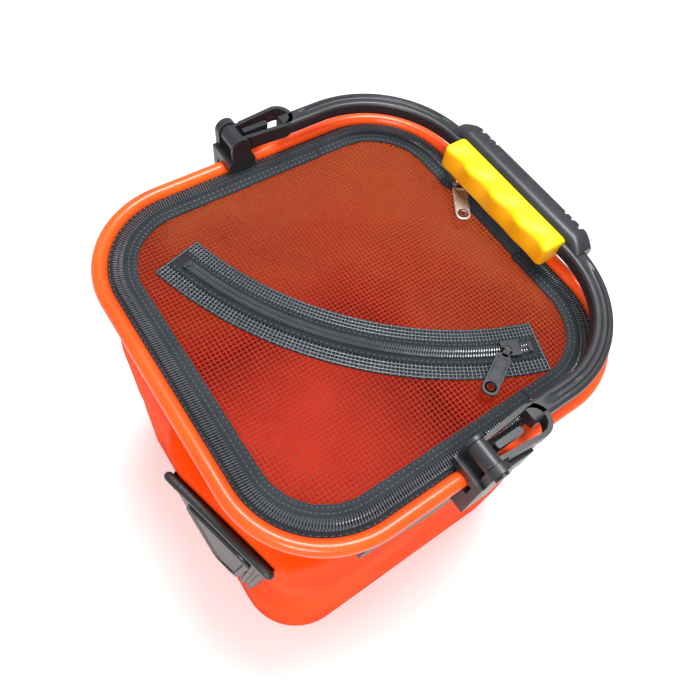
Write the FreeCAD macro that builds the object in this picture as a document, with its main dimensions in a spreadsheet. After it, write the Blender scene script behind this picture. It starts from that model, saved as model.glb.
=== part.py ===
import FreeCAD, Part
import Sketcher
import math
import os
import re

# Folding square EVA bucket with a zipped mesh lid and a snap-on bail handle, in millimetres.
# Origin: centre of the base, on the floor. +Z up. The handle lies folded over the +Y side,
# the lid hinges on the +Y side, and the moulded pocket is on the -Y wall.

V = FreeCAD.Vector
X_AXIS, Y_AXIS, Z_AXIS = V(1, 0, 0), V(0, 1, 0), V(0, 0, 1)

SIZES = {
    # bucket
    "rim_half": 125, "rim_corner": 62, "bucket_height": 250, "bead_radius": 4.5, "hoop_radius": 1.5,
    "hoop_clearance": 0.1, "wall_thickness": 2.5, "wall_inset": 5.5, "wall_top_drop": 6.5,
    "base_half": "rim_half - 2", "base_corner": 45, "base_thickness": 3,
    # zip that runs round the rim, measured inward from the rim's outer edge
    "chain_inset": 14.7, "coil_width": 3.15, "coil_rise": 2.2, "chain_gap": 0.3, "tape_thickness": 1,
    "tape_drop": 4.3, "inner_tape_width": 8.6, "stop_length": 2.4,
    # lid
    "mesh_thickness": 1, "mesh_lap": 2, "fold_place": "rim_half - 47", "seam_place": "rim_half - 82",
    "fold_gap": 0.2, "seam_gap": 0.4, "flap_clearance": 0.3, "hinge_from": -36, "hinge_to": 30,
    "hinge_thickness": 1.3,
    # bowed zip across the lid, on an arc about a far centre
    "arc_x": -129.2, "arc_y": 143.9, "arc_radius": 225.8, "strip_width": 32, "strip_from": -75.8,
    "strip_to": -18.5, "strip_thickness": 0.8, "mid_tape_width": 14, "mid_tape_thickness": 0.7,
    "mid_coil_rise": 2, "mid_chain_from": -72.8, "mid_chain_to": -20.8, "mid_slider_at": -23.6,
    # sliders and pull tabs
    "slider_length": 11, "slider_wing": 1.4, "slider_cover": 1, "slider_clearance": 0.3,
    "pivot_rise": 3.1, "pivot_radius": 0.8, "pivot_play": 0.08, "tab_ring_radius": 1.7,
    "tab_length": 32, "tab_width": 9, "tab_thickness": 1.6, "tab_hole": 2.4, "post_gap": 0.3,
    "rim_slider_x": -38, "rim_tab_x": -34, "rim_tab_inset": 19.2, "rim_tab_heading": -33,
    "mid_tab_x": 77.9, "mid_tab_y": 50.1, "mid_tab_heading": -62,
    # handle
    "pivot_y": -9, "handle_level": "bucket_height + 16", "pin_radius": 2.8, "pin_play": 0.08,
    "pin_head_radius": 4.2, "pin_head": 1.5, "barrel_radius": 5.5, "arm_x": "rim_half - 8.7",
    "arm_width": 11, "arm_depth": 9, "bend_radius": 66, "bend_start": "rim_half - 74",
    "eye_x": "rim_half - 4.6", "eye_y": 22, "eye_radius": 9.5, "loop_band": 2.6, "gate_width": 3.6,
    "gate_length": 17, "gate_gap": 0.6, "grip_half": 58, "grip_inner": "bend_start + bend_radius - 2",
    "grip_outer": "bend_start + bend_radius + 14", "grip_depth": 19, "insert_half": 47,
    "insert_inner": "bend_start + bend_radius - 19", "insert_depth": 17, "finger_pitch": 23,
    "finger_radius": 12, "finger_bite": 3,
    # rim anchors
    "anchor_inner": "rim_half - 14.2", "anchor_outer": "rim_half + 7.3", "cheek_inner": 2,
    "cheek_outer": 4.8, "anchor_length": 18, "cheek_radius": 6.5, "saddle_from": "bucket_height - 1.4",
    "saddle_to": "bucket_height + 6", "skirt_bottom": "bucket_height - 32",
    "foot_inner": "rim_half - 2.6", "foot_top": "bucket_height - 11", "barrel_play": 0.3,
    "lug_from": 1.2, "lug_to": 18, "lug_inner": "rim_half + 1", "lug_outer": "rim_half + 6",
    "lug_top": "bucket_height + 8", "lug_bottom": "bucket_height - 14",
    "slit_bottom": "bucket_height - 2", "patch_half": 70, "patch_tip": 12,
    "patch_top": "bucket_height - 14", "patch_bottom": "bucket_height - 54",
    "patch_out": "rim_half - 2.8",
    # moulded pocket on the -Y wall
    "pocket_x": "rim_half - 59", "pocket_y": "rim_half + 4", "pocket_turn": 14,
    "pocket_top": "bucket_height - 40", "pocket_bottom": "bucket_height - 155", "pocket_half_top": 38,
    "pocket_half_bottom": 22, "pocket_wall": 2, "lip_depth": 5.5, "lip_height": 5,
    "frame_top": "bucket_height - 52", "frame_bottom": "bucket_height - 143", "frame_half_top": 25,
    "frame_half_bottom": 12, "frame_width": 4, "frame_height": 2.6, "panel_height": 1.4, "rib_width": 3,
    "rib_height": 2, "rib_pitch": 6,
}

doc = FreeCAD.newDocument("FoldingBucket")
sheet = doc.addObject("Spreadsheet::Sheet", "Sizes")
for row, alias in enumerate(SIZES, start=1):
    sheet.set(f"A{row}", alias)
    sheet.setAlias(f"B{row}", alias)
for row, amount in enumerate(SIZES.values(), start=1):
    sheet.set(f"B{row}", f"={amount}")
doc.recompute()

NODES = {}


def bound(words):
    """An expression over the sheet's aliases."""
    return re.sub(r"[a-z][a-z0-9]*(_[a-z0-9]+)+", lambda m: "Sizes." + m.group(0), str(words))


def size(words):
    """The value of an expression over the sheet's aliases, for code that builds a shape itself."""
    names = {alias: float(sheet.get(alias)) for alias in SIZES}
    total = re.sub(r"[a-z][a-z0-9]*(_[a-z0-9]+)+", lambda m: repr(names[m.group(0)]), str(words))
    return float(FreeCAD.Units.Quantity(total).Value)


def tie(thing, **rules):
    for name, words in rules.items():
        thing.setExpression(name.replace("__", "."), bound(words))
    return thing


def at(thing, x="0", y="0", z="0"):
    return tie(thing, Placement__Base__x=x, Placement__Base__y=y, Placement__Base__z=z)


def new(kind, label):
    thing = doc.addObject(kind, "part_" + label)
    thing.Label = label + "_step"
    return thing


def node(label, thing):
    thing.Label = label
    NODES[label] = thing
    return thing


def box(label, x0, x1, y0, y1, z0, z1):
    block = new("Part::Box", label)
    tie(block, Length=f"({x1}) - ({x0})", Width=f"({y1}) - ({y0})", Height=f"({z1}) - ({z0})")
    return at(block, x0, y0, z0)


def rod_x(label, radius, x0, x1, y, z):
    """A cylinder along X."""
    rod = new("Part::Cylinder", label)
    rod.Placement = FreeCAD.Placement(V(), FreeCAD.Rotation(Y_AXIS, 90))
    tie(rod, Radius=radius, Height=f"({x1}) - ({x0})")
    return at(rod, x0, y, z)


def cut(label, base, tool):
    result = new("Part::Cut", label)
    result.Base, result.Tool = base, tool
    return result


def common(label, base, tool):
    result = new("Part::Common", label)
    result.Base, result.Tool = base, tool
    return result


def fuse(label, pieces):
    result = new("Part::MultiFuse", label)
    result.Shapes = pieces
    result.Refine = True
    return result


def mirrored(label, source):
    """The piece's twin on the -X side."""
    twin = new("Part::Mirroring", label)
    twin.Source = source
    twin.Normal, twin.Base = X_AXIS, V()
    return twin


def feature(label, shape):
    piece = new("Part::Feature", label)
    piece.Shape = shape
    return piece


def rounded_square(sketch, tag, half, corner):
    """A closed square with round corners, centred on the sketch's origin."""
    h, c = size(half), size(corner)
    flat = h - c
    first = sketch.GeometryCount
    for side in range(4):
        turn = side * math.pi / 2
        ends = [(-flat, -h), (flat, -h)]
        line = [V(x * math.cos(turn) - y * math.sin(turn), x * math.sin(turn) + y * math.cos(turn), 0)
                for x, y in ends]
        sketch.addGeometry(Part.LineSegment(*line), False)
        centre = V(flat * math.cos(turn) + flat * math.sin(turn),
                   flat * math.sin(turn) - flat * math.cos(turn), 0)
        circle = Part.Circle(centre, Z_AXIS, c)
        sketch.addGeometry(Part.ArcOfCircle(circle, turn - math.pi / 2, turn), False)
    for side in range(4):
        line, arc = first + 2 * side, first + 2 * side + 1
        following = first + (2 * side + 2) % 8
        sketch.addConstraint(Sketcher.Constraint("Tangent", line, 2, arc, 1))
        sketch.addConstraint(Sketcher.Constraint("Tangent", arc, 2, following, 1))
        sketch.addConstraint(Sketcher.Constraint("Vertical" if side % 2 else "Horizontal", line))
        name = f"{tag}_side_{side}"
        axis = "DistanceX" if side % 2 else "DistanceY"
        low, high = ((line, 1), (-1, 1)) if side in (0, 3) else ((-1, 1), (line, 1))
        index = sketch.addConstraint(Sketcher.Constraint(axis, *low, *high, h))
        sketch.renameConstraint(index, name)
        sketch.setExpression("Constraints." + name, bound(half))
        if side:
            sketch.addConstraint(Sketcher.Constraint("Equal", first + 1, arc))
    index = sketch.addConstraint(Sketcher.Constraint("Radius", first + 1, c))
    sketch.renameConstraint(index, tag + "_corner")
    sketch.setExpression(f"Constraints.{tag}_corner", bound(corner))


def new_body(label, plane):
    """A body with a sketch attached to one of its own origin planes."""
    body = new("PartDesign::Body", label)
    sketch = body.newObject("Sketcher::SketchObject", "outline_" + label)
    origin = next(f for f in body.Origin.OriginFeatures if f.Role == plane)
    sketch.AttachmentSupport = [(origin, "")]
    sketch.MapMode = "FlatFace"
    return body, sketch


def pad(body, sketch, label, length, midplane=False):
    block = body.newObject("PartDesign::Pad", "pad_" + label)
    block.Profile = sketch
    block.Midplane = midplane
    tie(block, Length=length)
    return block


def rim_corner_at(half):
    return f"rim_corner - rim_half + ({half})"


def plate(label, half, z0, z1, corner=None):
    """A flat plate with the rim's rounded outline."""
    body, sketch = new_body(label, "XY_Plane")
    rounded_square(sketch, "outer", half, corner or rim_corner_at(half))
    pad(body, sketch, label, f"({z1}) - ({z0})")
    return at(body, z=z0)


def ring(label, outer, inner, z0, z1):
    """A flat band that follows the rim."""
    body, sketch = new_body(label, "XY_Plane")
    rounded_square(sketch, "outer", outer, rim_corner_at(outer))
    rounded_square(sketch, "inner", inner, rim_corner_at(inner))
    pad(body, sketch, label, f"({z1}) - ({z0})")
    return at(body, z=z0)


def sector(label, inner, outer, start, end, z0, z1):
    """A flat band on the lid's zip arc, between two angles."""
    rounds = []
    for name, radius in (("out", outer), ("in", inner)):
        disc = new("Part::Cylinder", f"{label}_{name}")
        disc.Placement = FreeCAD.Placement(V(), FreeCAD.Rotation(Z_AXIS, -1))
        tie(disc, Radius=radius, Height=f"({z1}) - ({z0})", Angle=f"({end}) - ({start})",
            Placement__Rotation__Angle=start)
        rounds.append(at(disc, "arc_x", "arc_y", z0))
    return cut(label, *rounds)


def rect_wire(half, corner, z):
    """The rounded square outline as a wire, for sweeps and lofts."""
    flat = half - corner
    edges = []
    for side in range(4):
        turn = FreeCAD.Rotation(Z_AXIS, 90 * side)
        mid = corner * math.sqrt(0.5)
        edges.append(Part.makeLine(turn.multVec(V(-flat, -half, z)), turn.multVec(V(flat, -half, z))))
        edges.append(Part.Arc(turn.multVec(V(flat, -half, z)), turn.multVec(V(flat + mid, -flat - mid, z)),
                              turn.multVec(V(half, -flat, z))).toShape())
    return Part.Wire(edges)


def prism(points, sweep):
    """A straight-sided solid from a closed polygon and a direction."""
    return Part.Face(Part.makePolygon(points + points[:1])).extrude(sweep)


# Levels and lines that several pieces share.
RIM_LEVEL = "bucket_height - bead_radius"
TAPE_LOW = "bucket_height - tape_drop - tape_thickness"
TAPE_TOP = "bucket_height - tape_drop"
COIL_TOP = f"{TAPE_TOP} + coil_rise"
MESH_LOW = f"{TAPE_LOW} - mesh_thickness"
CHAIN = "rim_half - chain_inset"
LID_EDGE = f"{CHAIN} - chain_gap / 2"
SEAT_EDGE = f"{CHAIN} + chain_gap / 2"
TAPE_INNER = f"{LID_EDGE} - inner_tape_width"
STRIP_TOP = f"{TAPE_LOW} + strip_thickness"
MID_TAPE_TOP = f"{STRIP_TOP} + mid_tape_thickness"
MID_COIL_TOP = f"{MID_TAPE_TOP} + mid_coil_rise"
FAR = "rim_half * 2"


def rim_tube(radius):
    """A round tube along the rim's centre line."""
    centre = size("rim_half - bead_radius")
    level = size(RIM_LEVEL)
    spine = rect_wire(centre, size("rim_corner - bead_radius"), level)
    section = Part.Wire(Part.makeCircle(radius, V(0, -centre, level), X_AXIS))
    return Part.Wire(spine).makePipeShell([section], True, True)


def wall_block(skin):
    """The solid inside the wall's outer skin (0) or inner skin (wall thickness)."""
    top = size("rim_half - wall_inset") - skin
    top_corner = size("rim_corner - wall_inset") - skin
    low = rect_wire(size("base_half") - skin, size("base_corner") - skin, size("base_thickness"))
    high = rect_wire(top, top_corner, size("bucket_height - wall_top_drop"))
    return Part.makeLoft([low, high], True, True)


def bucket_shell():
    node("base_panel", plate("base_panel", "base_half", "0", "base_thickness", "base_corner"))
    bead = rim_tube(size("bead_radius"))
    wall = wall_block(0).cut(wall_block(size("wall_thickness"))).cut(bead)
    node("bucket_wall", feature("bucket_wall", wall))
    bore = rim_tube(size("hoop_radius + hoop_clearance"))
    node("rim_bead", feature("rim_bead", bead.cut(bore)))
    node("rim_hoop", feature("rim_hoop", rim_tube(size("hoop_radius"))))
    return feature("bead_tool", bead)


def rim_zip(bead_tool):
    """Tape and coil sewn to the rim, broken at the lid's cloth hinge."""
    gap = ("hinge_from", "hinge_to", "seam_place", FAR, "0", "bucket_height * 2")
    tape = ring("rim_tape_ring", "rim_half - bead_radius", SEAT_EDGE, TAPE_LOW, TAPE_TOP)
    tape = cut("rim_tape_trim", tape, bead_tool)
    node("rim_zip_tape", cut("rim_zip_tape", tape, box("rim_tape_gap", *gap)))
    coil = ring("rim_coil_ring", f"{SEAT_EDGE} + coil_width", SEAT_EDGE, TAPE_TOP, COIL_TOP)
    node("rim_zip_coil", cut("rim_zip_coil", coil, box("rim_coil_gap", *gap)))
    cloth = box("cloth_block", "hinge_from", "hinge_to", TAPE_INNER, "rim_half - bead_radius",
                TAPE_LOW, f"{TAPE_LOW} + hinge_thickness")
    node("lid_hinge_cloth", cut("lid_hinge_cloth", cloth, bead_tool))
    node("rim_zip_stop", box("rim_zip_stop", "hinge_to - stop_length", "hinge_to",
                             f"{CHAIN} - coil_width", f"{CHAIN} + coil_width",
                             f"{TAPE_LOW} + hinge_thickness", COIL_TOP))


def front_zone(label):
    """Everything on the moving side of the lid's seam."""
    return box(label, f"-{FAR}", FAR, f"-{FAR}", "seam_place - seam_gap", "0", "bucket_height * 2")


def rear_zone(label):
    """The part of the lid that stays with the rim, outside the cloth hinge."""
    strip = box(label + "_strip", f"-{FAR}", FAR, "seam_place + seam_gap", FAR, "0", "bucket_height * 2")
    gap = box(label + "_gap", "hinge_from", "hinge_to", "fold_place", FAR, "0", "bucket_height * 2")
    return cut(label, strip, gap)


def lid_edges():
    for label, zone in (("front", front_zone), ("rear", rear_zone)):
        tape = ring(f"lid_tape_ring_{label}", LID_EDGE, TAPE_INNER, TAPE_LOW, TAPE_TOP)
        node(f"lid_tape_{label}", common(f"lid_tape_{label}", tape, zone(f"tape_zone_{label}")))
        coil = ring(f"lid_coil_ring_{label}", LID_EDGE, f"{LID_EDGE} - coil_width", TAPE_TOP, COIL_TOP)
        node(f"lid_coil_{label}", common(f"lid_coil_{label}", coil, zone(f"coil_zone_{label}")))


def lid_mesh():
    """The net, in the flap that folds back and the strip behind its fold line."""
    outline = f"{TAPE_INNER} + mesh_lap"
    edge = plate("mesh_plate_front", outline, MESH_LOW, TAPE_LOW)
    neck = plate("mesh_plate_neck", f"{TAPE_INNER} - flap_clearance", MESH_LOW, TAPE_LOW)
    zone = box("mesh_zone_neck", f"-{FAR}", FAR, "0", "fold_place - fold_gap", "0", "bucket_height * 2")
    node("lid_mesh_front", fuse("lid_mesh_front", [
        common("mesh_front_edge", edge, front_zone("mesh_zone_front")),
        common("mesh_front_neck", neck, zone)]))
    rear = plate("mesh_plate_rear", outline, MESH_LOW, TAPE_LOW)
    behind = box("mesh_zone_rear", f"-{FAR}", FAR, "fold_place + fold_gap", FAR, "0", "bucket_height * 2")
    node("lid_mesh_rear", common("lid_mesh_rear", rear, behind))


def lid_zip():
    """The bowed strip across the lid with its own zip."""
    inner, outer = "arc_radius - strip_width / 2", "arc_radius + strip_width / 2"
    band = sector("mid_strip_band", inner, outer, "strip_from", "strip_to", TAPE_LOW, STRIP_TOP)
    limit = f"{TAPE_INNER} - flap_clearance"
    zone = box("mid_strip_zone", f"-{FAR}", limit, f"-{FAR}", "fold_place - fold_gap",
               "0", "bucket_height * 2")
    node("mid_strip", common("mid_strip", band, zone))
    start, end = "mid_chain_from", "mid_chain_to"
    node("mid_zip_tape", sector("mid_zip_tape", "arc_radius - mid_tape_width / 2",
                                "arc_radius + mid_tape_width / 2", start, end, STRIP_TOP, MID_TAPE_TOP))
    sides = {"inner": (f"arc_radius - chain_gap / 2 - coil_width", "arc_radius - chain_gap / 2"),
             "outer": ("arc_radius + chain_gap / 2", "arc_radius + chain_gap / 2 + coil_width")}
    for side, (near, far) in sides.items():
        node(f"mid_zip_coil_{side}", sector(f"mid_zip_coil_{side}", near, far, start, end,
                                            MID_TAPE_TOP, MID_COIL_TOP))
    for label, first, last in (("lower", "mid_chain_from - 0.6", "mid_chain_from"),
                               ("upper", "mid_chain_to", "mid_chain_to + 0.6")):
        node(f"mid_zip_stop_{label}", sector(f"mid_zip_stop_{label}", "arc_radius - coil_width",
                                             "arc_radius + coil_width", first, last,
                                             STRIP_TOP, MID_COIL_TOP))


def slider(label, centre, heading, chain_top, chain_rise, pivot, tab_heading):
    """A cover over both coils, a wing down each side, and the two posts that hold the tab's pin."""
    reach = size("coil_width + chain_gap / 2 + slider_clearance")
    half_width = reach + size("slider_wing")
    half_length = size("slider_length") / 2
    under = chain_top + size("slider_clearance")
    top = under + size("slider_cover")
    low = chain_top - chain_rise + size("slider_clearance")
    body = Part.makeBox(2 * half_length, 2 * half_width, top - low, V(-half_length, -half_width, low))
    channel = Part.makeBox(4 * half_length, 2 * reach, under - low + 1, V(-2 * half_length, -reach, low - 1))
    body = body.cut(channel)
    body.rotate(V(), Z_AXIS, heading)
    body.translate(V(centre[0], centre[1], 0))
    pin_level = chain_top + size("pivot_rise")
    inside = size("tab_ring_radius + post_gap")
    pin = size("pivot_radius")
    posts = []
    for side in (-1, 1):
        post = Part.makeBox(2 * pin, 1.2, pin_level + pin - under, V(-pin, -0.6, under))
        post.translate(V(0, side * (inside + 0.6), 0))
        posts.append(post)
    bar = Part.makeCylinder(pin, 2 * inside, V(0, -inside, pin_level), Y_AXIS)
    foot = Part.makeBox(4 * pin, 2 * inside + 2.4, top - under, V(-2 * pin, -inside - 1.2, under))
    crown = foot.fuse(posts + [bar])
    crown.rotate(V(), Z_AXIS, tab_heading)
    crown.translate(V(pivot[0], pivot[1], 0))
    node(label, feature(label, body.fuse(crown).removeSplitter()))
    return pin_level


def pull_tab(label, pivot, heading, pin_level):
    """A flat tab with a ring round the slider's pin and a hole near its free end."""
    length, width, thick = size("tab_length"), size("tab_width"), size("tab_thickness")
    ring_radius = size("tab_ring_radius")
    neck = Part.makeBox(ring_radius + 3, 2 * ring_radius, thick, V(0, -ring_radius, -thick / 2))
    end = width / 2
    blade = Part.makeBox(length - ring_radius - 3 - end, width, thick,
                         V(ring_radius + 3, -width / 2, -thick / 2))
    tip = Part.makeCylinder(end, thick, V(length - end, 0, -thick / 2))
    eye = Part.makeCylinder(ring_radius, 2 * ring_radius, V(0, -ring_radius, 0), Y_AXIS)
    tab = neck.fuse([blade, tip, eye])
    bore = size("pivot_radius + pivot_play")
    tab = tab.cut(Part.makeCylinder(bore, 4 * ring_radius, V(0, -2 * ring_radius, 0), Y_AXIS))
    tab = tab.cut(Part.makeCylinder(size("tab_hole"), 4 * thick, V(length - end, 0, -2 * thick)))
    tab.rotate(V(), Z_AXIS, heading)
    tab.translate(V(pivot[0], pivot[1], pin_level))
    node(label, feature(label, tab.removeSplitter()))


def sliders():
    chain = size(CHAIN)
    pivot = (size("rim_tab_x"), size("rim_half - rim_tab_inset"))
    heading = size("rim_tab_heading")
    level = slider("rim_slider", (size("rim_slider_x"), chain), 0, size(COIL_TOP),
                   size("coil_rise"), pivot, heading)
    pull_tab("rim_pull_tab", pivot, heading, level)
    angle = math.radians(size("mid_slider_at"))
    centre = (size("arc_x") + size("arc_radius") * math.cos(angle),
              size("arc_y") + size("arc_radius") * math.sin(angle))
    pivot = (size("mid_tab_x"), size("mid_tab_y"))
    heading = size("mid_tab_heading")
    level = slider("mid_slider", centre, size("mid_slider_at + 90"), size(MID_COIL_TOP),
                   size("mid_coil_rise"), pivot, heading)
    pull_tab("mid_pull_tab", pivot, heading, level)


def anchor():
    """Saddle over the rim bead with two cheeks for the hook's pin, an outer skirt and a lug beside it."""
    y0, y1 = "pivot_y - anchor_length / 2", "pivot_y + anchor_length / 2"
    outer_face = "anchor_outer - cheek_outer"
    inner_face = "anchor_inner + cheek_inner"
    pieces = [
        box("saddle", "anchor_inner", "anchor_outer", y0, y1, "saddle_from", "saddle_to"),
        box("skirt", outer_face, "anchor_outer", y0, y1, "skirt_bottom", "saddle_to"),
        box("foot", "foot_inner", outer_face, y0, y1, "skirt_bottom", "foot_top"),
        box("lug", "lug_inner", "lug_outer", "lug_from", "lug_to", "lug_bottom", "lug_top"),
        box("bridge", outer_face, "lug_outer", y1, "lug_from", "lug_bottom", "slit_bottom")]
    for label, x0, x1 in (("inner", "anchor_inner", inner_face), ("outer", outer_face, "anchor_outer")):
        pieces.append(rod_x("cheek_round_" + label, "cheek_radius", x0, x1, "pivot_y", "handle_level"))
        pieces.append(box("cheek_block_" + label, x0, x1, "pivot_y - cheek_radius",
                          "pivot_y + cheek_radius", "saddle_from", "handle_level"))
    return fuse("anchor_blank", pieces)


def anchors(bead_tool):
    blank = cut("anchor_seated", anchor(), bead_tool)
    bore = rod_x("anchor_bore", "pin_radius", "anchor_inner", "anchor_outer", "pivot_y", "handle_level")
    right = node("anchor_right", cut("anchor_right", blank, bore))
    node("anchor_left", mirrored("anchor_left", right))
    shaft = rod_x("pin_shaft", "pin_radius", "anchor_inner", "anchor_outer", "pivot_y", "handle_level")
    head = rod_x("pin_head_disc", "pin_head_radius", "anchor_outer", "anchor_outer + pin_head",
                 "pivot_y", "handle_level")
    right = node("pivot_pin_right", fuse("pivot_pin_right", [shaft, head]))
    node("pivot_pin_left", mirrored("pivot_pin_left", right))


def wall_patches():
    """Wing-shaped reinforcement on the wall under each anchor."""
    out, back = size("patch_out"), size("rim_half - wall_inset - wall_thickness")
    centre, half, tip = size("pivot_y"), size("patch_half"), size("patch_tip")
    top, bottom = size("patch_top"), size("patch_bottom")
    points = [V(back, centre - half, top), V(back, centre + half, top), V(back, centre + half, top - tip),
              V(back, centre + half / 3, bottom), V(back, centre - half / 3, bottom),
              V(back, centre - half, top - tip)]
    patch = prism(points, V(out - back, 0, 0)).cut(wall_block(0))
    right = node("wall_patch_right", feature("wall_patch_right", patch))
    node("wall_patch_left", mirrored("wall_patch_left", right))


def teardrop(inset):
    """The snap hook's outline in plan: a round eye that tapers to the pin barrel."""
    eye, eye_radius = V(size("eye_x"), size("eye_y"), 0), size("eye_radius") - inset
    x0 = size("anchor_inner + cheek_inner + barrel_play") + inset
    x1 = size("anchor_outer - cheek_outer - barrel_play") - inset
    end = V((x0 + x1) / 2, size("pivot_y"), 0)
    small = (x1 - x0) / 2
    gap = eye - end
    lean = math.acos((eye_radius - small) / gap.Length)
    course = math.atan2(gap.y, gap.x)
    corners = []
    for side in (1, -1):
        ray = V(math.cos(course + side * (math.pi - lean)), math.sin(course + side * (math.pi - lean)), 0)
        corners.append((end + ray * small, eye + ray * eye_radius))
    (low_a, high_a), (low_b, high_b) = corners
    over = eye + V(math.cos(course), math.sin(course), 0) * eye_radius
    under = end - V(math.cos(course), math.sin(course), 0) * small
    return Part.Face(Part.Wire([
        Part.makeLine(low_a, high_a), Part.Arc(high_a, over, high_b).toShape(),
        Part.makeLine(high_b, low_b), Part.Arc(low_b, under, low_a).toShape()]))


def hook_blank(inset):
    depth = size("arm_depth")
    block = teardrop(inset).extrude(V(0, 0, depth))
    block.translate(V(0, 0, size("handle_level") - depth / 2))
    return block


def snap_hooks():
    """Loop with a barrel round the anchor's pin, and a sprung gate inside it."""
    x0 = size("anchor_inner + cheek_inner + barrel_play")
    x1 = size("anchor_outer - cheek_outer - barrel_play")
    pin = V(x0, size("pivot_y"), size("handle_level"))
    reach = size("barrel_radius")
    behind = Part.makeBox(x1 - x0 + 40, 40, 40, V(x0 - 20, pin.y - 40, pin.z - 20))
    clear = math.hypot(size("cheek_radius"), size("arm_depth") / 2) + size("barrel_play")
    sweeps = [Part.makeCylinder(clear, 20, V(start, pin.y, pin.z), X_AXIS) for start in (x0 - 20, x1)]
    barrel = Part.makeCylinder(reach, x1 - x0, pin, X_AXIS)
    bore = Part.makeCylinder(size("pin_radius + pin_play"), x1 - x0 + 2, pin - X_AXIS, X_AXIS)
    loop = hook_blank(0).cut([hook_blank(size("loop_band")), behind] + sweeps)
    hook = loop.fuse(barrel).cut(bore).removeSplitter()
    right = node("snap_hook_right", feature("snap_hook_right", hook))
    node("snap_hook_left", mirrored("snap_hook_left", right))
    root = pin.y + reach + size("gate_gap")
    gate = Part.makeBox(size("gate_width"), size("gate_length"), size("arm_depth - 1"),
                        V((x0 + x1 - size("gate_width")) / 2, root,
                          size("handle_level - arm_depth / 2 + 0.5")))
    gate = gate.makeFillet(size("gate_width") / 3, [e for e in gate.Edges if abs(e.tangentAt(0).z) > 0.9])
    right = node("hook_gate_right", feature("hook_gate_right", gate))
    node("hook_gate_left", mirrored("hook_gate_left", right))


def bail_band():
    """The handle bar in plan, a U that ends at both hooks, as a solid of the bar's depth."""
    half, depth = size("arm_width") / 2, size("arm_depth")
    arm, start, bend = size("arm_x"), size("bend_start"), size("bend_radius")
    foot, flat = size("eye_y"), arm - bend
    level = size("handle_level") - depth / 2

    def outline(shift):
        radius = bend + shift
        diagonal = radius * math.sqrt(0.5)
        return [
            Part.makeLine(V(arm + shift, foot, level), V(arm + shift, start, level)),
            Part.Arc(V(arm + shift, start, level), V(flat + diagonal, start + diagonal, level),
                     V(flat, start + radius, level)).toShape(),
            Part.makeLine(V(flat, start + radius, level), V(-flat, start + radius, level)),
            Part.Arc(V(-flat, start + radius, level), V(-flat - diagonal, start + diagonal, level),
                     V(-arm - shift, start, level)).toShape(),
            Part.makeLine(V(-arm - shift, start, level), V(-arm - shift, foot, level))]

    ends = [Part.makeLine(V(side * (arm - half), foot, level), V(side * (arm + half), foot, level))
            for side in (1, -1)]
    face = Part.Face(Part.Wire(Part.__sortEdges__(outline(half) + outline(-half) + ends)))
    return face.extrude(V(0, 0, depth))


def handle():
    bar = bail_band()
    for side in (1, -1):
        eye = hook_blank(0)
        bar = bar.cut(eye if side > 0 else eye.mirror(V(), X_AXIS))
    bar = max(bar.Solids, key=lambda solid: solid.Volume)
    node("bail_bar", feature("bail_bar", bar))
    tool = feature("bar_tool", bail_band())
    shell, sketch = new_body("shell_block", "XY_Plane")
    rectangle(sketch, "-grip_half", "grip_half", "grip_inner", "grip_outer")
    pad(shell, sketch, "shell_block", "grip_depth", True)
    doc.recompute()
    round_over(shell, "shell_block", 3)
    at(shell, z="handle_level")
    node("grip_shell", cut("grip_shell", shell, tool))
    insert, sketch = new_body("insert_block", "XY_Plane")
    rectangle(sketch, "-insert_half", "insert_half", "insert_inner", "grip_inner")
    pad(insert, sketch, "insert_block", "insert_depth", True)
    doc.recompute()
    finger_grooves(insert)
    at(insert, z="handle_level")
    node("grip_insert", cut("grip_insert", insert, tool))


def rectangle(sketch, x0, x1, y0, y1):
    """A rectangle given by its four sides, each bound to the sheet."""
    corners = [V(size(x0), size(y0), 0), V(size(x1), size(y0), 0),
               V(size(x1), size(y1), 0), V(size(x0), size(y1), 0)]
    first = sketch.GeometryCount
    for place in range(4):
        sketch.addGeometry(Part.LineSegment(corners[place], corners[(place + 1) % 4]), False)
    for place in range(4):
        line, after = first + place, first + (place + 1) % 4
        sketch.addConstraint(Sketcher.Constraint("Coincident", line, 2, after, 1))
        sketch.addConstraint(Sketcher.Constraint("Vertical" if place % 2 else "Horizontal", line))
    sides = (("left", "DistanceX", first + 3, x0), ("right", "DistanceX", first + 1, x1),
             ("low", "DistanceY", first, y0), ("high", "DistanceY", first + 2, y1))
    for name, axis, line, words in sides:
        index = sketch.addConstraint(Sketcher.Constraint(axis, -1, 1, line, 1, size(words)))
        sketch.renameConstraint(index, name)
        sketch.setExpression("Constraints." + name, bound(words))


def round_over(body, label, radius):
    """Fillets on the four upright edges of a padded block."""
    block = body.Tip
    upright = [f"Edge{place}" for place, edge in enumerate(block.Shape.Edges, start=1)
               if abs(edge.tangentAt(edge.FirstParameter).z) > 0.9]
    fillet = body.newObject("PartDesign::Fillet", "round_" + label)
    fillet.Base = (block, upright)
    fillet.Radius = radius
    doc.recompute()


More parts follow.
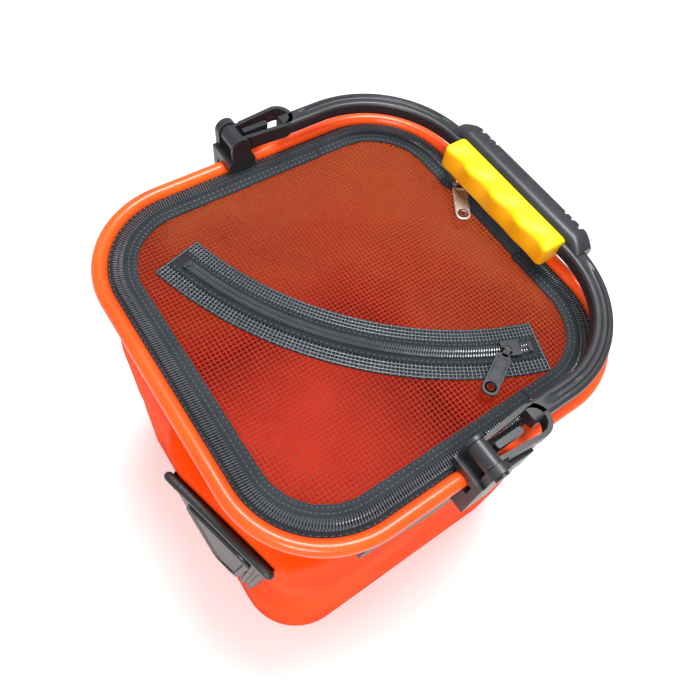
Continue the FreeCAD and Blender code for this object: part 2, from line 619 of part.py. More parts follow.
def finger_grooves(body):
    """Four shallow grooves along the insert's inner face, one per finger."""
    groove = body.newObject("Sketcher::SketchObject", "groove_outline")
    origin = next(f for f in body.Origin.OriginFeatures if f.Role == "XY_Plane")
    groove.AttachmentSupport = [(origin, "")]
    groove.MapMode = "FlatFace"
    x, y = "-1.5 * finger_pitch", "insert_inner + finger_bite - finger_radius"
    groove.addGeometry(Part.Circle(V(size(x), size(y), 0), Z_AXIS, size("finger_radius")), False)
    for name, kind, where, words in (("across", "DistanceX", (-1, 1, 0, 3), x),
                                     ("along", "DistanceY", (-1, 1, 0, 3), y),
                                     ("round", "Radius", (0,), "finger_radius")):
        index = groove.addConstraint(Sketcher.Constraint(kind, *where, size(words)))
        groove.renameConstraint(index, name)
        groove.setExpression("Constraints." + name, bound(words))
    bite = body.newObject("PartDesign::Pocket", "finger_groove")
    bite.Profile = groove
    bite.Midplane = True
    tie(bite, Length="insert_depth * 2")
    doc.recompute()
    row = body.newObject("PartDesign::LinearPattern", "finger_grooves")
    row.Originals = [bite]
    row.Direction = (groove, ["H_Axis"])
    tie(row, Length="3 * finger_pitch")
    row.Occurrences = 4
    body.Tip = row
    doc.recompute()


def trapezoid(half_top, half_bottom, top, bottom, y):
    return [V(-half_bottom, y, bottom), V(half_bottom, y, bottom),
            V(half_top, y, top), V(-half_top, y, top)]


def on_pocket_face(shape):
    """A shape drawn about the pocket's own face, where the pocket sits near the wall's corner."""
    turn = FreeCAD.Rotation(Z_AXIS, size("pocket_turn"))
    face = FreeCAD.Placement(V(size("pocket_x"), -size("pocket_y"), 0), turn)
    return shape.transformed(face.toMatrix())


def pocket():
    """Moulded pocket: an open-topped shell against the wall, a lip, a raised frame and its panel."""
    deep, wall = size("base_half / 2"), size("pocket_wall")
    top, bottom = size("pocket_top"), size("pocket_bottom")
    wide, narrow = size("pocket_half_top"), size("pocket_half_bottom")
    blank = prism(trapezoid(wide, narrow, top, bottom, deep), V(0, -deep, 0))
    room = prism(trapezoid(wide - wall, narrow - wall, top + wall, bottom + wall, deep),
                 V(0, wall - deep, 0))
    lean = (wide - narrow) / (top - bottom)
    low, high = size("frame_bottom"), size("frame_top")
    rib, ribs = size("rib_width"), []
    for place in (1, 2):
        reach = size("frame_half_top") + place * size("rib_pitch") - rib
        low_reach = reach - lean * (high - low)
        ribs.append(prism([V(low_reach, 0, low), V(low_reach + rib, 0, low),
                           V(reach + rib, 0, high), V(reach, 0, high)],
                          V(0, -size("rib_height"), 0)))
    shell = on_pocket_face(blank.cut(room).fuse(ribs)).cut(wall_block(0)).removeSplitter()
    node("pocket_shell", feature("pocket_shell", shell))
    lip = trapezoid(wide + wall, wide + wall, top + size("lip_height"), top,
                    -size("lip_depth - pocket_wall") / 2)
    node("pocket_lip", feature("pocket_lip", on_pocket_face(prism(lip, V(0, size("lip_depth"), 0)))))
    border, rise = size("frame_width"), size("frame_height")
    wide, narrow = size("frame_half_top"), size("frame_half_bottom")
    outer = trapezoid(wide, narrow, high, low, 0)
    inner = trapezoid(wide - border, narrow - border, high - border, low + border, 0)
    frame = prism(outer, V(0, -rise, 0)).cut(prism(inner, V(0, -2 * rise, 0)))
    node("pocket_frame", feature("pocket_frame", on_pocket_face(frame)))
    panel = prism(inner, V(0, -size("panel_height"), 0))
    node("pocket_panel", feature("pocket_panel", on_pocket_face(panel)))


def check_and_write():
    doc.recompute()
    for thing in doc.Objects:
        if set(thing.State) & {"Invalid", "Error"}:
            raise RuntimeError(f"{thing.Label} did not build: {thing.State}")
    for label, thing in NODES.items():
        shape = thing.Shape
        if shape.isNull() or not shape.isValid() or not shape.Solids:
            raise RuntimeError(f"{label} has no valid solid")
    os.makedirs("parts", exist_ok=True)
    for label, thing in NODES.items():
        thing.Shape.exportStep(f"parts/{label}.step")


bead_tool = bucket_shell()
rim_zip(bead_tool)
lid_edges()
lid_mesh()
lid_zip()
sliders()
anchors(bead_tool)
wall_patches()
snap_hooks()
handle()
pocket()
check_and_write()
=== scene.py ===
import math
import bpy
import numpy as np
from mathutils import Matrix, Vector, noise


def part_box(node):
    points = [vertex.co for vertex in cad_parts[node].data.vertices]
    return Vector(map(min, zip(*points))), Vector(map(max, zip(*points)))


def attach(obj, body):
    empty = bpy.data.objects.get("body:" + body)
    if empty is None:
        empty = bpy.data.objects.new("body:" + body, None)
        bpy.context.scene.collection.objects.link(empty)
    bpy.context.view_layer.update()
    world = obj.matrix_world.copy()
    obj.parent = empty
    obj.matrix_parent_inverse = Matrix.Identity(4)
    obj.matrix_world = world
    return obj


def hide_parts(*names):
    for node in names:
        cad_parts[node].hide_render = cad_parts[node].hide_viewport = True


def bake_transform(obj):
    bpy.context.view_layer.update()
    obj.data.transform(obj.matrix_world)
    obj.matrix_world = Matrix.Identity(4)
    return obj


# Folding square EVA bucket with a zipped net lid, a snap-on bail handle and a moulded pocket.
# Lengths are millimetres here and become metres when a mesh is made. Origin: centre of the base
# on the floor, +Z up, handle folded over +Y, pocket on the -Y wall.

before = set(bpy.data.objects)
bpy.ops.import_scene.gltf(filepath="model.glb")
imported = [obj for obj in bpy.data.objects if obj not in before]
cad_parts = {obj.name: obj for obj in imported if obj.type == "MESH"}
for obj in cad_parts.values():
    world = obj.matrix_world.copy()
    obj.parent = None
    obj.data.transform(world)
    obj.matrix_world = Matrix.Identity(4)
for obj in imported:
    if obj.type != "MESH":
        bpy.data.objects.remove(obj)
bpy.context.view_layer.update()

MM = 0.001
PI = math.pi


# ---------------------------------------------------------------- materials

class Value:
    """A shader value. Arithmetic on it adds maths nodes to its material."""

    def __init__(self, paint, socket):
        self.paint, self.socket = paint, socket

    def maths(self, operation, *others, clamp=False):
        sockets = dict(enumerate([self, *others]))
        node = self.paint.add("ShaderNodeMath", {"operation": operation, "use_clamp": clamp}, sockets)
        return Value(self.paint, node.outputs[0])

    def __add__(self, other):
        return self.maths("ADD", other)

    def __sub__(self, other):
        return self.maths("SUBTRACT", other)

    def __mul__(self, other):
        return self.maths("MULTIPLY", other)

    def __neg__(self):
        return self * -1

    def __rsub__(self, other):
        return -self + other

    __radd__ = __add__
    __rmul__ = __mul__

    def sine(self):
        return self.maths("SINE")

    def between(self, low, high):
        """0 below low, 1 above high, and smooth in between."""
        sockets = {"Value": self, "From Min": low, "From Max": high}
        node = self.paint.add("ShaderNodeMapRange", {"interpolation_type": "SMOOTHSTEP"}, sockets)
        return Value(self.paint, node.outputs[0])


class Paint:
    """One procedural material."""

    def __init__(self, name, **constants):
        self.material = bpy.data.materials.new(name)
        self.material.use_nodes = True
        self.tree = self.material.node_tree
        self.shader = self.tree.nodes["Principled BSDF"]
        for socket, amount in constants.items():
            self.shader.inputs[socket.replace("_", " ")].default_value = amount

    def add(self, kind, settings=(), sockets=()):
        """A node with its settings made first, then its sockets given values or links."""
        node = self.tree.nodes.new(kind)
        for setting, value in dict(settings).items():
            setattr(node, setting, value)
        for key, value in dict(sockets).items():
            if isinstance(value, Value):
                self.tree.links.new(value.socket, node.inputs[key])
            else:
                node.inputs[key].default_value = value
        return node

    def place(self):
        """Where the point is on the object at rest, in metres."""
        return Value(self, self.add("ShaderNodeTexCoord").outputs["Object"])

    def lay(self):
        """How far along and across a band the point is, in metres."""
        node = self.add("ShaderNodeAttribute", {"attribute_name": "lay"})
        return Value(self, node.outputs["Vector"])

    def parts(self, vector):
        node = self.add("ShaderNodeSeparateXYZ", (), {0: vector})
        return [Value(self, output) for output in node.outputs]

    def stretched(self, vector, scale):
        node = self.add("ShaderNodeVectorMath", {"operation": "MULTIPLY"}, {0: vector, 1: scale})
        return Value(self, node.outputs[0])

    def cloud(self, vector, scale, detail=3, rough=0.5):
        sockets = {"Vector": vector, "Scale": scale, "Detail": detail, "Roughness": rough}
        return Value(self, self.add("ShaderNodeTexNoise", (), sockets).outputs["Fac"])

    def mix(self, share, first, second):
        sockets = {"Factor": share, 6: first, 7: second}
        node = self.add("ShaderNodeMix", {"data_type": "RGBA"}, sockets)
        return Value(self, node.outputs[2])

    def finish(self, colour=None, rough=None, height=None, depth=0.0002, metallic=None, coat=None):
        """Link what varies to the shader; height in 0..1 becomes a bump depth metres high."""
        given = {"Base Color": colour, "Roughness": rough, "Metallic": metallic, "Coat Weight": coat}
        for socket, value in given.items():
            if value is not None:
                self.tree.links.new(value.socket, self.shader.inputs[socket])
        if height is not None:
            bump = self.add("ShaderNodeBump", (), {"Height": height, "Distance": depth, "Strength": 1.0})
            self.tree.links.new(bump.outputs[0], self.shader.inputs["Normal"])
        return self.material


def rgb(red, green, blue):
    """A screen colour, 0 to 255, as a linear one."""
    def linear(part):
        part /= 255
        return part / 12.92 if part <= 0.04045 else ((part + 0.055) / 1.055) ** 2.4
    return (linear(red), linear(green), linear(blue), 1.0)


def coated_eva(name, light, dark, rough, grain, coat, gloss=0.3, low=None):
    """Welded EVA sheet: smooth coating with a fine grain, soft dents and rubbed places; given low, it turns
    to that redder colour towards the floor as painted shade.
    """
    paint = Paint(name, Specular_IOR_Level=gloss, Coat_Roughness=0.12, Coat_Weight=coat)
    place = paint.place()
    broad = paint.cloud(place, 14, 3)
    fine = paint.cloud(place, 900, 2)
    rub = paint.cloud(place, 60, 5, 0.65)
    colour = paint.mix(broad.between(0.3, 0.72), dark, light)
    # Painted shade: with low given, the colour turns to it below about 120 mm and is all low below 20 mm.
    if low:
        painted_shade_share = (paint.parts(place)[2] + broad * 0.05).between(0.02, 0.12)
        colour = paint.mix(painted_shade_share, low, colour)
    scuff = (rub - 0.62).maths("MULTIPLY", 3.0, clamp=True)
    colour = paint.mix(scuff * 0.25, colour, rgb(255, 128, 64))
    height = fine * grain + broad * 0.9 + paint.cloud(place, 55, 2) * 0.35
    return paint.finish(colour, rub * 0.22 + rough, height, 0.0009)


def dark_plastic(name, light, dark, rough, grain=1400, depth=0.00006):
    """Moulded black plastic with a fine spark-eroded texture, flow marks and rubbed places."""
    paint = Paint(name, Specular_IOR_Level=0.55)
    place = paint.place()
    fine, broad, flow = paint.cloud(place, grain, 2), paint.cloud(place, 25, 4), paint.cloud(place, 220, 4)
    scratch = paint.cloud(paint.stretched(place, (900, 60, 400)), 1, 3)
    colour = paint.mix(broad * 0.6 + flow * 0.4, dark, light)
    colour = paint.mix(scratch.between(0.66, 0.78) * 0.35, colour, rgb(120, 130, 136))
    return paint.finish(colour, broad * 0.18 + flow * 0.12 + rough, fine + flow * 0.6, depth)


def metal(name, light, dark, rough, metallic=1.0):
    """Plated die-cast metal with fine polishing scratches and tarnish in patches."""
    paint = Paint(name, Metallic=metallic)
    place = paint.place()
    tarnish = paint.cloud(place, 160, 5, 0.6)
    scratch = paint.cloud(paint.stretched(place, (2500, 180, 900)), 1, 2)
    colour = paint.mix(tarnish.between(0.4, 0.75), light, dark)
    return paint.finish(colour, tarnish * 0.25 + scratch * 0.1 + rough,
                        scratch * 0.6 + tarnish * 0.4, 0.00005)


def ribbon(name, light, dark, rib, rough=0.62, along_rib=0.0012, depth=0.00016, sheen=0.12):
    """Woven tape: ribs across the band, picks along it, lint and a soft sheen."""
    paint = Paint(name, Specular_IOR_Level=0.22, Sheen_Weight=sheen, Sheen_Roughness=0.4)
    along, across, _ = paint.parts(paint.lay())
    rib_wave = (across * (2 * PI / rib)).sine() * 0.5 + 0.5
    pick_wave = (along * (2 * PI / along_rib)).sine() * 0.5 + 0.5
    weave = rib_wave * 0.55 + pick_wave * 0.45
    lint = paint.cloud(paint.place(), 500, 4, 0.6)
    fade = paint.cloud(paint.place(), 35, 3)
    colour = paint.mix(weave * 0.5 + lint * 0.25 + fade.between(0.35, 0.7) * 0.3, dark, light)
    return paint.finish(colour, lint * 0.2 + rough, weave + lint * 0.5, depth)


def coated_yarn(name, light, dark, rough, glint=0.5, coat=0.25):
    """Vinyl-coated or nylon yarn: glossy, with a slight lump and colour change along it."""
    paint = Paint(name, Specular_IOR_Level=glint, Coat_Weight=coat, Coat_Roughness=0.2)
    place = paint.place()
    lump, fade = paint.cloud(place, 1500, 2), paint.cloud(place, 70, 3)
    colour = paint.mix(fade * 0.7 + lump * 0.3, dark, light)
    return paint.finish(colour, lump * 0.15 + rough, lump, 0.00008)


def soft_rubber(name, light, dark):
    """Bright moulded rubber: satin skin, faint flow, finger-rubbed shine and an amber lower half of painted
    shade.
    """
    paint = Paint(name, Specular_IOR_Level=0.4, Subsurface_Weight=0.08, Subsurface_Scale=0.004)
    place = paint.place()
    fine, broad, wear = paint.cloud(place, 1300, 2), paint.cloud(place, 28, 3), paint.cloud(place, 140, 4)
    colour = paint.mix(broad.between(0.3, 0.7) * 0.6 + wear * 0.3, dark, light)
    # Painted shade: below a set height the insert turns amber, the shade of its finger grooves laid over its
    # lower half and underside.
    painted_shade_below = (paint.parts(place)[2] + wear * 0.0008).between(0.2690, 0.2738)
    colour = paint.mix(painted_shade_below, rgb(246, 168, 8), colour)
    return paint.finish(colour, wear * 0.25 + 0.34, fine + wear * 0.7, 0.00008)


PAINTS = {
    "eva_wall": coated_eva("eva sheet", rgb(238, 74, 2), rgb(224, 56, 1), 0.5, 0.12, 0.0, 0.03),
    # The floor's copy of the sheet is a deeper red: painted shade on the bucket's floor.
    "eva_floor_painted_shade": coated_eva("eva floor", rgb(226, 54, 22), rgb(210, 42, 16), 0.5, 0.12, 0.0, 0.1),
    # The inner skin's copy of the sheet is a lighter orange: painted light on the inside walls, with low a
    # redder painted shade near the floor.
    "eva_inside_painted_light": coated_eva("eva sheet inside painted light", rgb(255, 150, 76), rgb(255, 132, 60), 0.45, 0.12, 0.0, 0.2,
                             low=rgb(246, 62, 20)),
    "eva_bead": coated_eva("eva piping", rgb(255, 88, 16), rgb(248, 72, 8), 0.24, 0.05, 0.25),
    "steel_hoop": metal("spring steel", rgb(150, 150, 150), rgb(110, 108, 104), 0.35),
    "zip_tape": ribbon("zip tape weave", rgb(38, 42, 46), rgb(14, 15, 17), 0.0011),
    "edge_tape": ribbon("lid edge tape", rgb(46, 51, 56), rgb(20, 22, 25), 0.0021, along_rib=0.0016),
    # The black nylon coil is coloured mid grey: painted glints.
    "zip_coil": coated_yarn("nylon coil", rgb(84, 90, 96), rgb(38, 42, 46), 0.14, 1.0, 0.7),
    "hinge_cloth": ribbon("hinge cloth", rgb(58, 65, 74), rgb(24, 27, 32), 0.0009, along_rib=0.0009),
    # The dark net yarn is coloured orange-brown: painted glow of the orange inside showing through it.
    "net": coated_yarn("vinyl net yarn painted glow", rgb(152, 64, 40), rgb(100, 36, 24), 0.4, 0.3, 0.05),
    # The black heavy net yarn is coloured light grey: painted glints.
    "strip_net": coated_yarn("heavy net yarn painted glints", rgb(92, 100, 108), rgb(38, 43, 49), 0.2, 1.0),
    "strip_cloth": ribbon("strip backing", rgb(22, 25, 29), rgb(6, 7, 8), 0.0022, along_rib=0.0022,
                          sheen=0.0),
    "thread": coated_yarn("sewing thread", rgb(92, 100, 108), rgb(44, 48, 54), 0.5, 0.4),
    "black_plastic": dark_plastic("handle plastic", rgb(40, 44, 49), rgb(18, 20, 23), 0.24),
    "yellow_rubber": soft_rubber("grip rubber", rgb(255, 226, 6), rgb(255, 205, 0)),
    "pocket_eva": dark_plastic("pocket shell", rgb(36, 36, 38), rgb(15, 15, 16), 0.26, 700, 0.0001),
    "patch": dark_plastic("patch skin", rgb(56, 56, 58), rgb(26, 26, 27), 0.34, 900, 0.00012),
    "nickel": metal("nickel plate", rgb(214, 212, 208), rgb(150, 144, 136), 0.16),
    "black_metal": metal("painted metal", rgb(40, 43, 47), rgb(15, 16, 18), 0.2, 0.2),
}


# ---------------------------------------------------------------- mesh tools

def piece(name, body, slot, points, faces, lay=None, paint=None, stands_for=(), sharp=50):
    """A mesh object from points in mm, riding on a body."""
    mesh = bpy.data.meshes.new(name)
    mesh.from_pydata((np.asarray(points, float) * MM).tolist(), [], faces)
    mesh.validate()
    mesh.polygons.foreach_set("use_smooth", [True] * len(mesh.polygons))
    if sharp:
        mesh.set_sharp_from_angle(angle=math.radians(sharp))
    if lay is not None:
        layer = mesh.attributes.new("lay", "FLOAT_VECTOR", "POINT")
        layer.data.foreach_set("vector", (np.asarray(lay, float) * MM).ravel())
    mesh.materials.append(PAINTS[paint or slot])
    thing = bpy.data.objects.new(name, mesh)
    bpy.context.scene.collection.objects.link(thing)
    if body:
        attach(thing, body)
    if stands_for:
        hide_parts(*stands_for)
    return thing


def grid_faces(rows, columns, wrap_rows=False, wrap_columns=False, start=0):
    faces = []
    for i in range(rows - (not wrap_rows)):
        for j in range(columns - (not wrap_columns)):
            a, b = i * columns + j, i * columns + (j + 1) % columns
            c, d = (i + 1) % rows * columns + (j + 1) % columns, (i + 1) % rows * columns + j
            faces.append((a + start, b + start, c + start, d + start))
    return faces


def joined(parts):
    """Several (points, faces) as one."""
    points, faces, start = [], [], 0
    for some, those in parts:
        points.append(some)
        faces += [tuple(i + start for i in face) for face in those]
        start += len(some)
    return np.concatenate(points), faces


def swept(origin, side, up, section, closed=False, caps=True):
    """A closed section, (K, 2) or (N, K, 2), carried along N frames. Gives points, faces, lay."""
    section = np.broadcast_to(section, (len(origin),) + np.shape(section)[-2:])
    points = origin[:, None] + side[:, None] * section[..., :1] + up[:, None] * section[..., 1:]
    rows, columns = section.shape[:2]
    faces = grid_faces(rows, columns, closed, True)
    if caps and not closed:
        faces += [tuple(range(columns))[::-1], tuple((rows - 1) * columns + i for i in range(columns))]
    run = np.concatenate([[0], np.cumsum(np.linalg.norm(np.diff(origin, axis=0), axis=1))])
    lay = np.stack([np.broadcast_to(run[:, None], (rows, columns)), section[..., 0],
                    section[..., 1]], -1)
    return points.reshape(-1, 3), faces, lay.reshape(-1, 3)


def tube(path, radius, sides=6, closed=False, guide=(0, 0, 1), phase=0.0, caps=True):
    """A round tube along a path. guide is a direction or one per point, never along the path."""
    path = np.asarray(path, float)
    if closed:
        tangent = np.roll(path, -1, 0) - np.roll(path, 1, 0)
    else:
        tangent = np.gradient(path, axis=0)
    tangent /= np.linalg.norm(tangent, axis=1)[:, None]
    side = np.cross(tangent, np.broadcast_to(guide, path.shape))
    side /= np.linalg.norm(side, axis=1)[:, None]
    up = np.cross(side, tangent)
    angle = np.arange(sides) * 2 * PI / sides + phase
    ring = np.stack([np.cos(angle), np.sin(angle)], -1)
    size = np.broadcast_to(np.asarray(radius, float).reshape(-1, 1, 1), (len(path), 1, 1))
    return swept(path, side, up, ring * size, closed, caps)


def rounded_box(half_a, half_b, corner, steps=4, centre=(0, 0)):
    """A rounded rectangle as (K, 2) points, counterclockwise."""
    points = []
    for k, (sa, sb) in enumerate([(1, 1), (-1, 1), (-1, -1), (1, -1)]):
        for i in range(steps + 1):
            angle = (k + i / steps) * PI / 2
            points.append((sa * (half_a - corner) + corner * math.cos(angle) + centre[0],
                           sb * (half_b - corner) + corner * math.sin(angle) + centre[1]))
    return np.array(points)


def wobble(points, scale, seed=0.0):
    """Smooth noise, about -1 to 1, at each point in mm."""
    return np.array([noise.noise(Vector(p) * scale + Vector((seed, seed * 0.7, 0))) for p in points])


# ---------------------------------------------------------------- tracks the zips follow

CHAIN, CORNER = 110.3, 63.0                 # half width of the rim chain, corner centres
RUN, ARC = 2 * CORNER, (CHAIN - CORNER) * PI / 2
SIDE = RUN + ARC
LAP = 4 * SIDE


def rim_track(s):
    """Points and outward normals round the rim; s = 0 is the -Y end of the +X side."""
    s = np.asarray(s, float) % LAP
    side, along = np.divmod(s, SIDE)
    angle = np.clip(along - RUN, 0, None) / (CHAIN - CORNER)
    x = CORNER + (CHAIN - CORNER) * np.cos(angle)
    y = np.minimum(along - CORNER, CORNER) + (CHAIN - CORNER) * np.sin(angle)
    nx, ny = np.cos(angle), np.sin(angle)
    turn = side * PI / 2
    c, d = np.cos(turn), np.sin(turn)
    zero = np.zeros_like(x)
    return (np.stack([x * c - y * d, x * d + y * c, zero], -1),
            np.stack([nx * c - ny * d, nx * d + ny * c, zero], -1))


ARC_CENTRE, ARC_RADIUS = np.array([-129.2, 143.9, 0.0]), 225.8


def arc_track(s):
    """Points and outward normals of the bowed zip; s is the angle in degrees."""
    angle = np.radians(np.asarray(s, float))
    normal = np.stack([np.cos(angle), np.sin(angle), np.zeros_like(angle)], -1)
    return ARC_CENTRE + normal * ARC_RADIUS, normal


HINGE_FROM, HINGE_TO, SEAM, FOLD = -36.0, 30.0, 43.0, 78.0
S_HINGE_TO, S_HINGE_FROM = SIDE + CORNER - HINGE_TO, SIDE + CORNER - HINGE_FROM
S_SEAM_RIGHT, S_SEAM_LEFT = SEAM + CORNER, 2 * SIDE + CORNER - SEAM
UP = np.array([0.0, 0.0, 1.0])


def stations(first, last, step):
    return np.linspace(first, last, max(2, int(abs(last - first) / step) + 1))


def along(track, s, section, **extra):
    origin, normal = track(s)
    return swept(origin, normal, np.broadcast_to(UP, origin.shape), section, **extra)


def coil(track, s, pitch, scale, inner, outer, low, high, wire, lead):
    """A flattened helix of monofilament along a track. scale turns s into mm."""
    length = abs(s[1] - s[0]) * scale
    turns = length / pitch
    steps = int(turns * 10)
    share = np.linspace(0, 1, steps)
    angle = 2 * PI * turns * share + lead
    origin, normal = track(s[0] + (s[1] - s[0]) * share)
    radial = np.stack([np.cos(angle), np.sin(angle)], -1)
    squared = radial / np.maximum(np.abs(radial).max(1), 0.86)[:, None]
    half = np.array([(outer - inner) / 2 - wire, (high - low) / 2 - wire])
    centre = np.array([(outer + inner) / 2, (low + high) / 2])
    place = centre + squared * half
    path = origin + normal * place[:, :1] + UP * place[:, 1:]
    guide = normal * radial[:, :1] + UP * radial[:, 1:]
    points, faces, _ = tube(path, wire, 5, guide=guide)
    return points, faces


def stitches(track, s, scale, offset, level, length=2.0, gap=1.2, radius=0.32):
    """A row of sewn stitches lying on a surface."""
    count = int(abs(s[1] - s[0]) * scale / (length + gap))
    parts = []
    bulge = np.array([0.15, 0.8, 1.0, 0.8, 0.15])
    for k in range(count):
        middle = s[0] + (s[1] - s[0]) * (k + 0.5) / count
        half = length / 2 / scale
        origin, normal = track(middle + np.linspace(-half, half, 5))
        path = origin + normal * offset + UP * (level + 0.3 * (bulge[:, None] - 0.6))
        points, faces, _ = tube(path, radius * bulge, 5)
        parts.append((points, faces))
    return joined(parts)


# ---------------------------------------------------------------- bucket

WALL_LOW, WALL_HIGH = 3.0, 243.5
POCKET_X, POCKET_Y, POCKET_TURN = 66.0, -129.0, math.radians(14)
PATCH_Y = -9.0
WALL_TO_LIP = 4.6                   # how close the swollen wall comes to the pocket's face


def wall_ring(z, inset=0.0):
    """The wall's outline at a height: points and normals, starting on the +X side."""
    rise = (z - WALL_LOW) / (WALL_HIGH - WALL_LOW)
    half = 123 + (119.5 - 123) * rise
    centre = 78 + (63 - 78) * rise
    reach = half - centre
    quarter = [(half, y, 1.0, 0.0) for y in np.linspace(-centre, centre, 49)[:-1]]
    for angle in np.linspace(0, PI / 2, 25)[:-1]:
        c, d = math.cos(angle), math.sin(angle)
        quarter.append((centre + reach * c, centre + reach * d, c, d))
    points = []
    for k in range(4):
        c, d = round(math.cos(k * PI / 2)), round(math.sin(k * PI / 2))
        points += [((x - inset * nx) * c - (y - inset * ny) * d, (x - inset * nx) * d + (y - inset * ny) * c,
                    nx * c - ny * d, nx * d + ny * c) for x, y, nx, ny in quarter]
    return np.array(points)


def crease(distance, depth, width):
    return -depth * np.exp(-(distance / width) ** 2) + 0.55 * depth * np.exp(-(distance / (3.2 * width)) ** 2)


def from_pocket(places):
    """Distances along and behind the pocket's face."""
    c, d = math.cos(POCKET_TURN), math.sin(POCKET_TURN)
    dx, dy = places[:, 0] - POCKET_X, places[:, 1] - POCKET_Y
    return dx * c + dy * d, -dx * d + dy * c


def swell(distance, depth, z, level):
    """How far the soft wall swells out over the pocket towards the back of its lip."""
    wide = np.clip((70 - np.abs(distance)) / 34, 0, 1)
    high = np.clip((238 - z) / 16, 0, 1) * (0.25 + 0.75 * np.clip((z - 120) / 70, 0, 1)) * min(1, z / 60)
    share = wide * wide * (3 - 2 * wide) * high * high * (3 - 2 * high)
    return np.where(depth < 40, np.clip(depth - level, 0, 13), 0) * share


def slack(places, z):
    """1 over most of the wall, and 0 where the pocket or a patch is welded on and keeps it smooth."""
    distance, depth = from_pocket(places)
    pocket = np.clip((62 - np.abs(distance)) / 16, 0, 1) * np.clip((z - 76) / 14, 0, 1) * (depth < 40)
    patch = np.clip((86 - np.abs(places[:, 1] - PATCH_Y)) / 12, 0, 1) * np.clip((z - 180) / 14, 0, 1)
    return 1 - np.maximum(pocket, patch * (np.abs(places[:, 0]) > 100))


def swell_to_lip(places, z, level):
    """The move that carries points of the wall outward by their swell."""
    distance, depth = from_pocket(places)
    outward = swell(distance, depth, z, level)
    return np.stack([outward * math.sin(POCKET_TURN), -outward * math.cos(POCKET_TURN), 0 * outward], -1)


def eva_wall():
    """One shell of EVA sheet: two skins, soft dents, the folding creases and a slack bulge."""
    levels = np.concatenate([np.linspace(WALL_LOW, 232, 62), np.linspace(235, WALL_HIGH, 5)])
    skins = []
    for inset in (0.0, 2.5):
        rows = []
        for z in levels:
            ring = wall_ring(z, inset)
            rise = (z - WALL_LOW) / (WALL_HIGH - WALL_LOW)
            hold = min(1, (WALL_HIGH - z) / 18) * min(1, (z - WALL_LOW) / 14)
            flat_x, flat_y = ring[:, 0], ring[:, 1]
            tangent = -flat_x * ring[:, 3] + flat_y * ring[:, 2]
            places = np.stack([ring[:, 0], ring[:, 1], np.full(len(ring), z)], -1)
            move = 1.3 * math.sin(PI * rise) * np.cos(np.clip(tangent / 110, -1, 1) * PI / 2)
            move += 1.5 * wobble(places, 0.016, 3.0) + 0.5 * wobble(places, 0.05, 8.0)
            straight = np.maximum(np.abs(ring[:, 2]), np.abs(ring[:, 3])) > 0.995
            diagonal = np.abs(np.abs(tangent) + (z - 8) * 0.86 - 122) / 1.32
            move += np.where(straight, crease(diagonal, 0.9, 2.2), 0)
            move += np.where(straight, crease(z - 96 + 0.05 * tangent, 0.6, 2.6), 0)
            places = places + np.stack([ring[:, 2], ring[:, 3], 0 * tangent], -1) \
                * (move * hold * slack(places, z))[:, None]
            rows.append(places + swell_to_lip(places, z, WALL_TO_LIP + inset))
        skins.append(np.array(rows))
    columns = skins[0].shape[1]
    rows = len(levels)
    points = np.concatenate([skins[0].reshape(-1, 3), skins[1].reshape(-1, 3)])
    outer = grid_faces(rows, columns, False, True)
    inner = [face[::-1] for face in grid_faces(rows, columns, False, True, rows * columns)]
    edge = []
    for row in (0, rows - 1):
        for j in range(columns):
            a, b = row * columns + j, row * columns + (j + 1) % columns
            quad = (a, a + rows * columns, b + rows * columns, b)
            edge.append(quad if row == 0 else quad[::-1])
    wall = piece("eva_wall", "bucket", "eva_wall", points, outer + inner + edge, stands_for=["bucket_wall"])
    # The inner skin takes the lighter copy of the sheet: painted light.
    wall.data.materials.append(PAINTS["eva_inside_painted_light"])
    inside = [0] * len(outer) + [1] * len(inner) + [0] * len(edge)
    wall.data.polygons.foreach_set("material_index", inside)
    return wall


def eva_base():
    """The floor of the bucket: welded EVA plate with a shallow cross fold."""
    steps = 60
    share = np.linspace(0.01, 1, steps)
    outline = wall_ring(3.0)[:, :2]
    skins = []
    for level in (0.0, 3.0):
        rows = []
        for t in share:
            ring = np.c_[outline * t, np.full(len(outline), level)]
            if level:
                cross = np.minimum(np.abs(ring[:, 0]), np.abs(ring[:, 1]))
                slant = np.abs(np.abs(ring[:, 0]) - np.abs(ring[:, 1])) / 1.414
                dent = np.clip(crease(cross, 0.5, 2.0) + crease(slant, 0.35, 2.5), -0.5, 0)
                fade = min(1, (1 - t) * 9)
                ring[:, 2] += dent * fade + 0.25 * wobble(ring, 0.03, 2.0) * fade
            rows.append(ring)
        skins.append(np.array(rows))
    columns = len(outline)
    top = grid_faces(steps, columns, False, True, steps * columns)
    under = [face[::-1] for face in grid_faces(steps, columns, False, True)]
    rim = []
    for j in range(columns):
        a, b = (steps - 1) * columns + j, (steps - 1) * columns + (j + 1) % columns
        rim.append((a, b, b + steps * columns, a + steps * columns))
    middle = [tuple(range(columns - 1, -1, -1)), tuple(range(steps * columns, (steps + 1) * columns))]
    points = np.concatenate([skin.reshape(-1, 3) for skin in skins])
    # The floor takes the deeper red copy of the sheet: painted shade.
    return piece("eva_base", "bucket", "eva_wall", points, top + under + middle + rim, paint="eva_floor_painted_shade",
                 stands_for=["base_panel"])


BEAD_OFFSET, BEAD_LEVEL = 10.2, 245.5


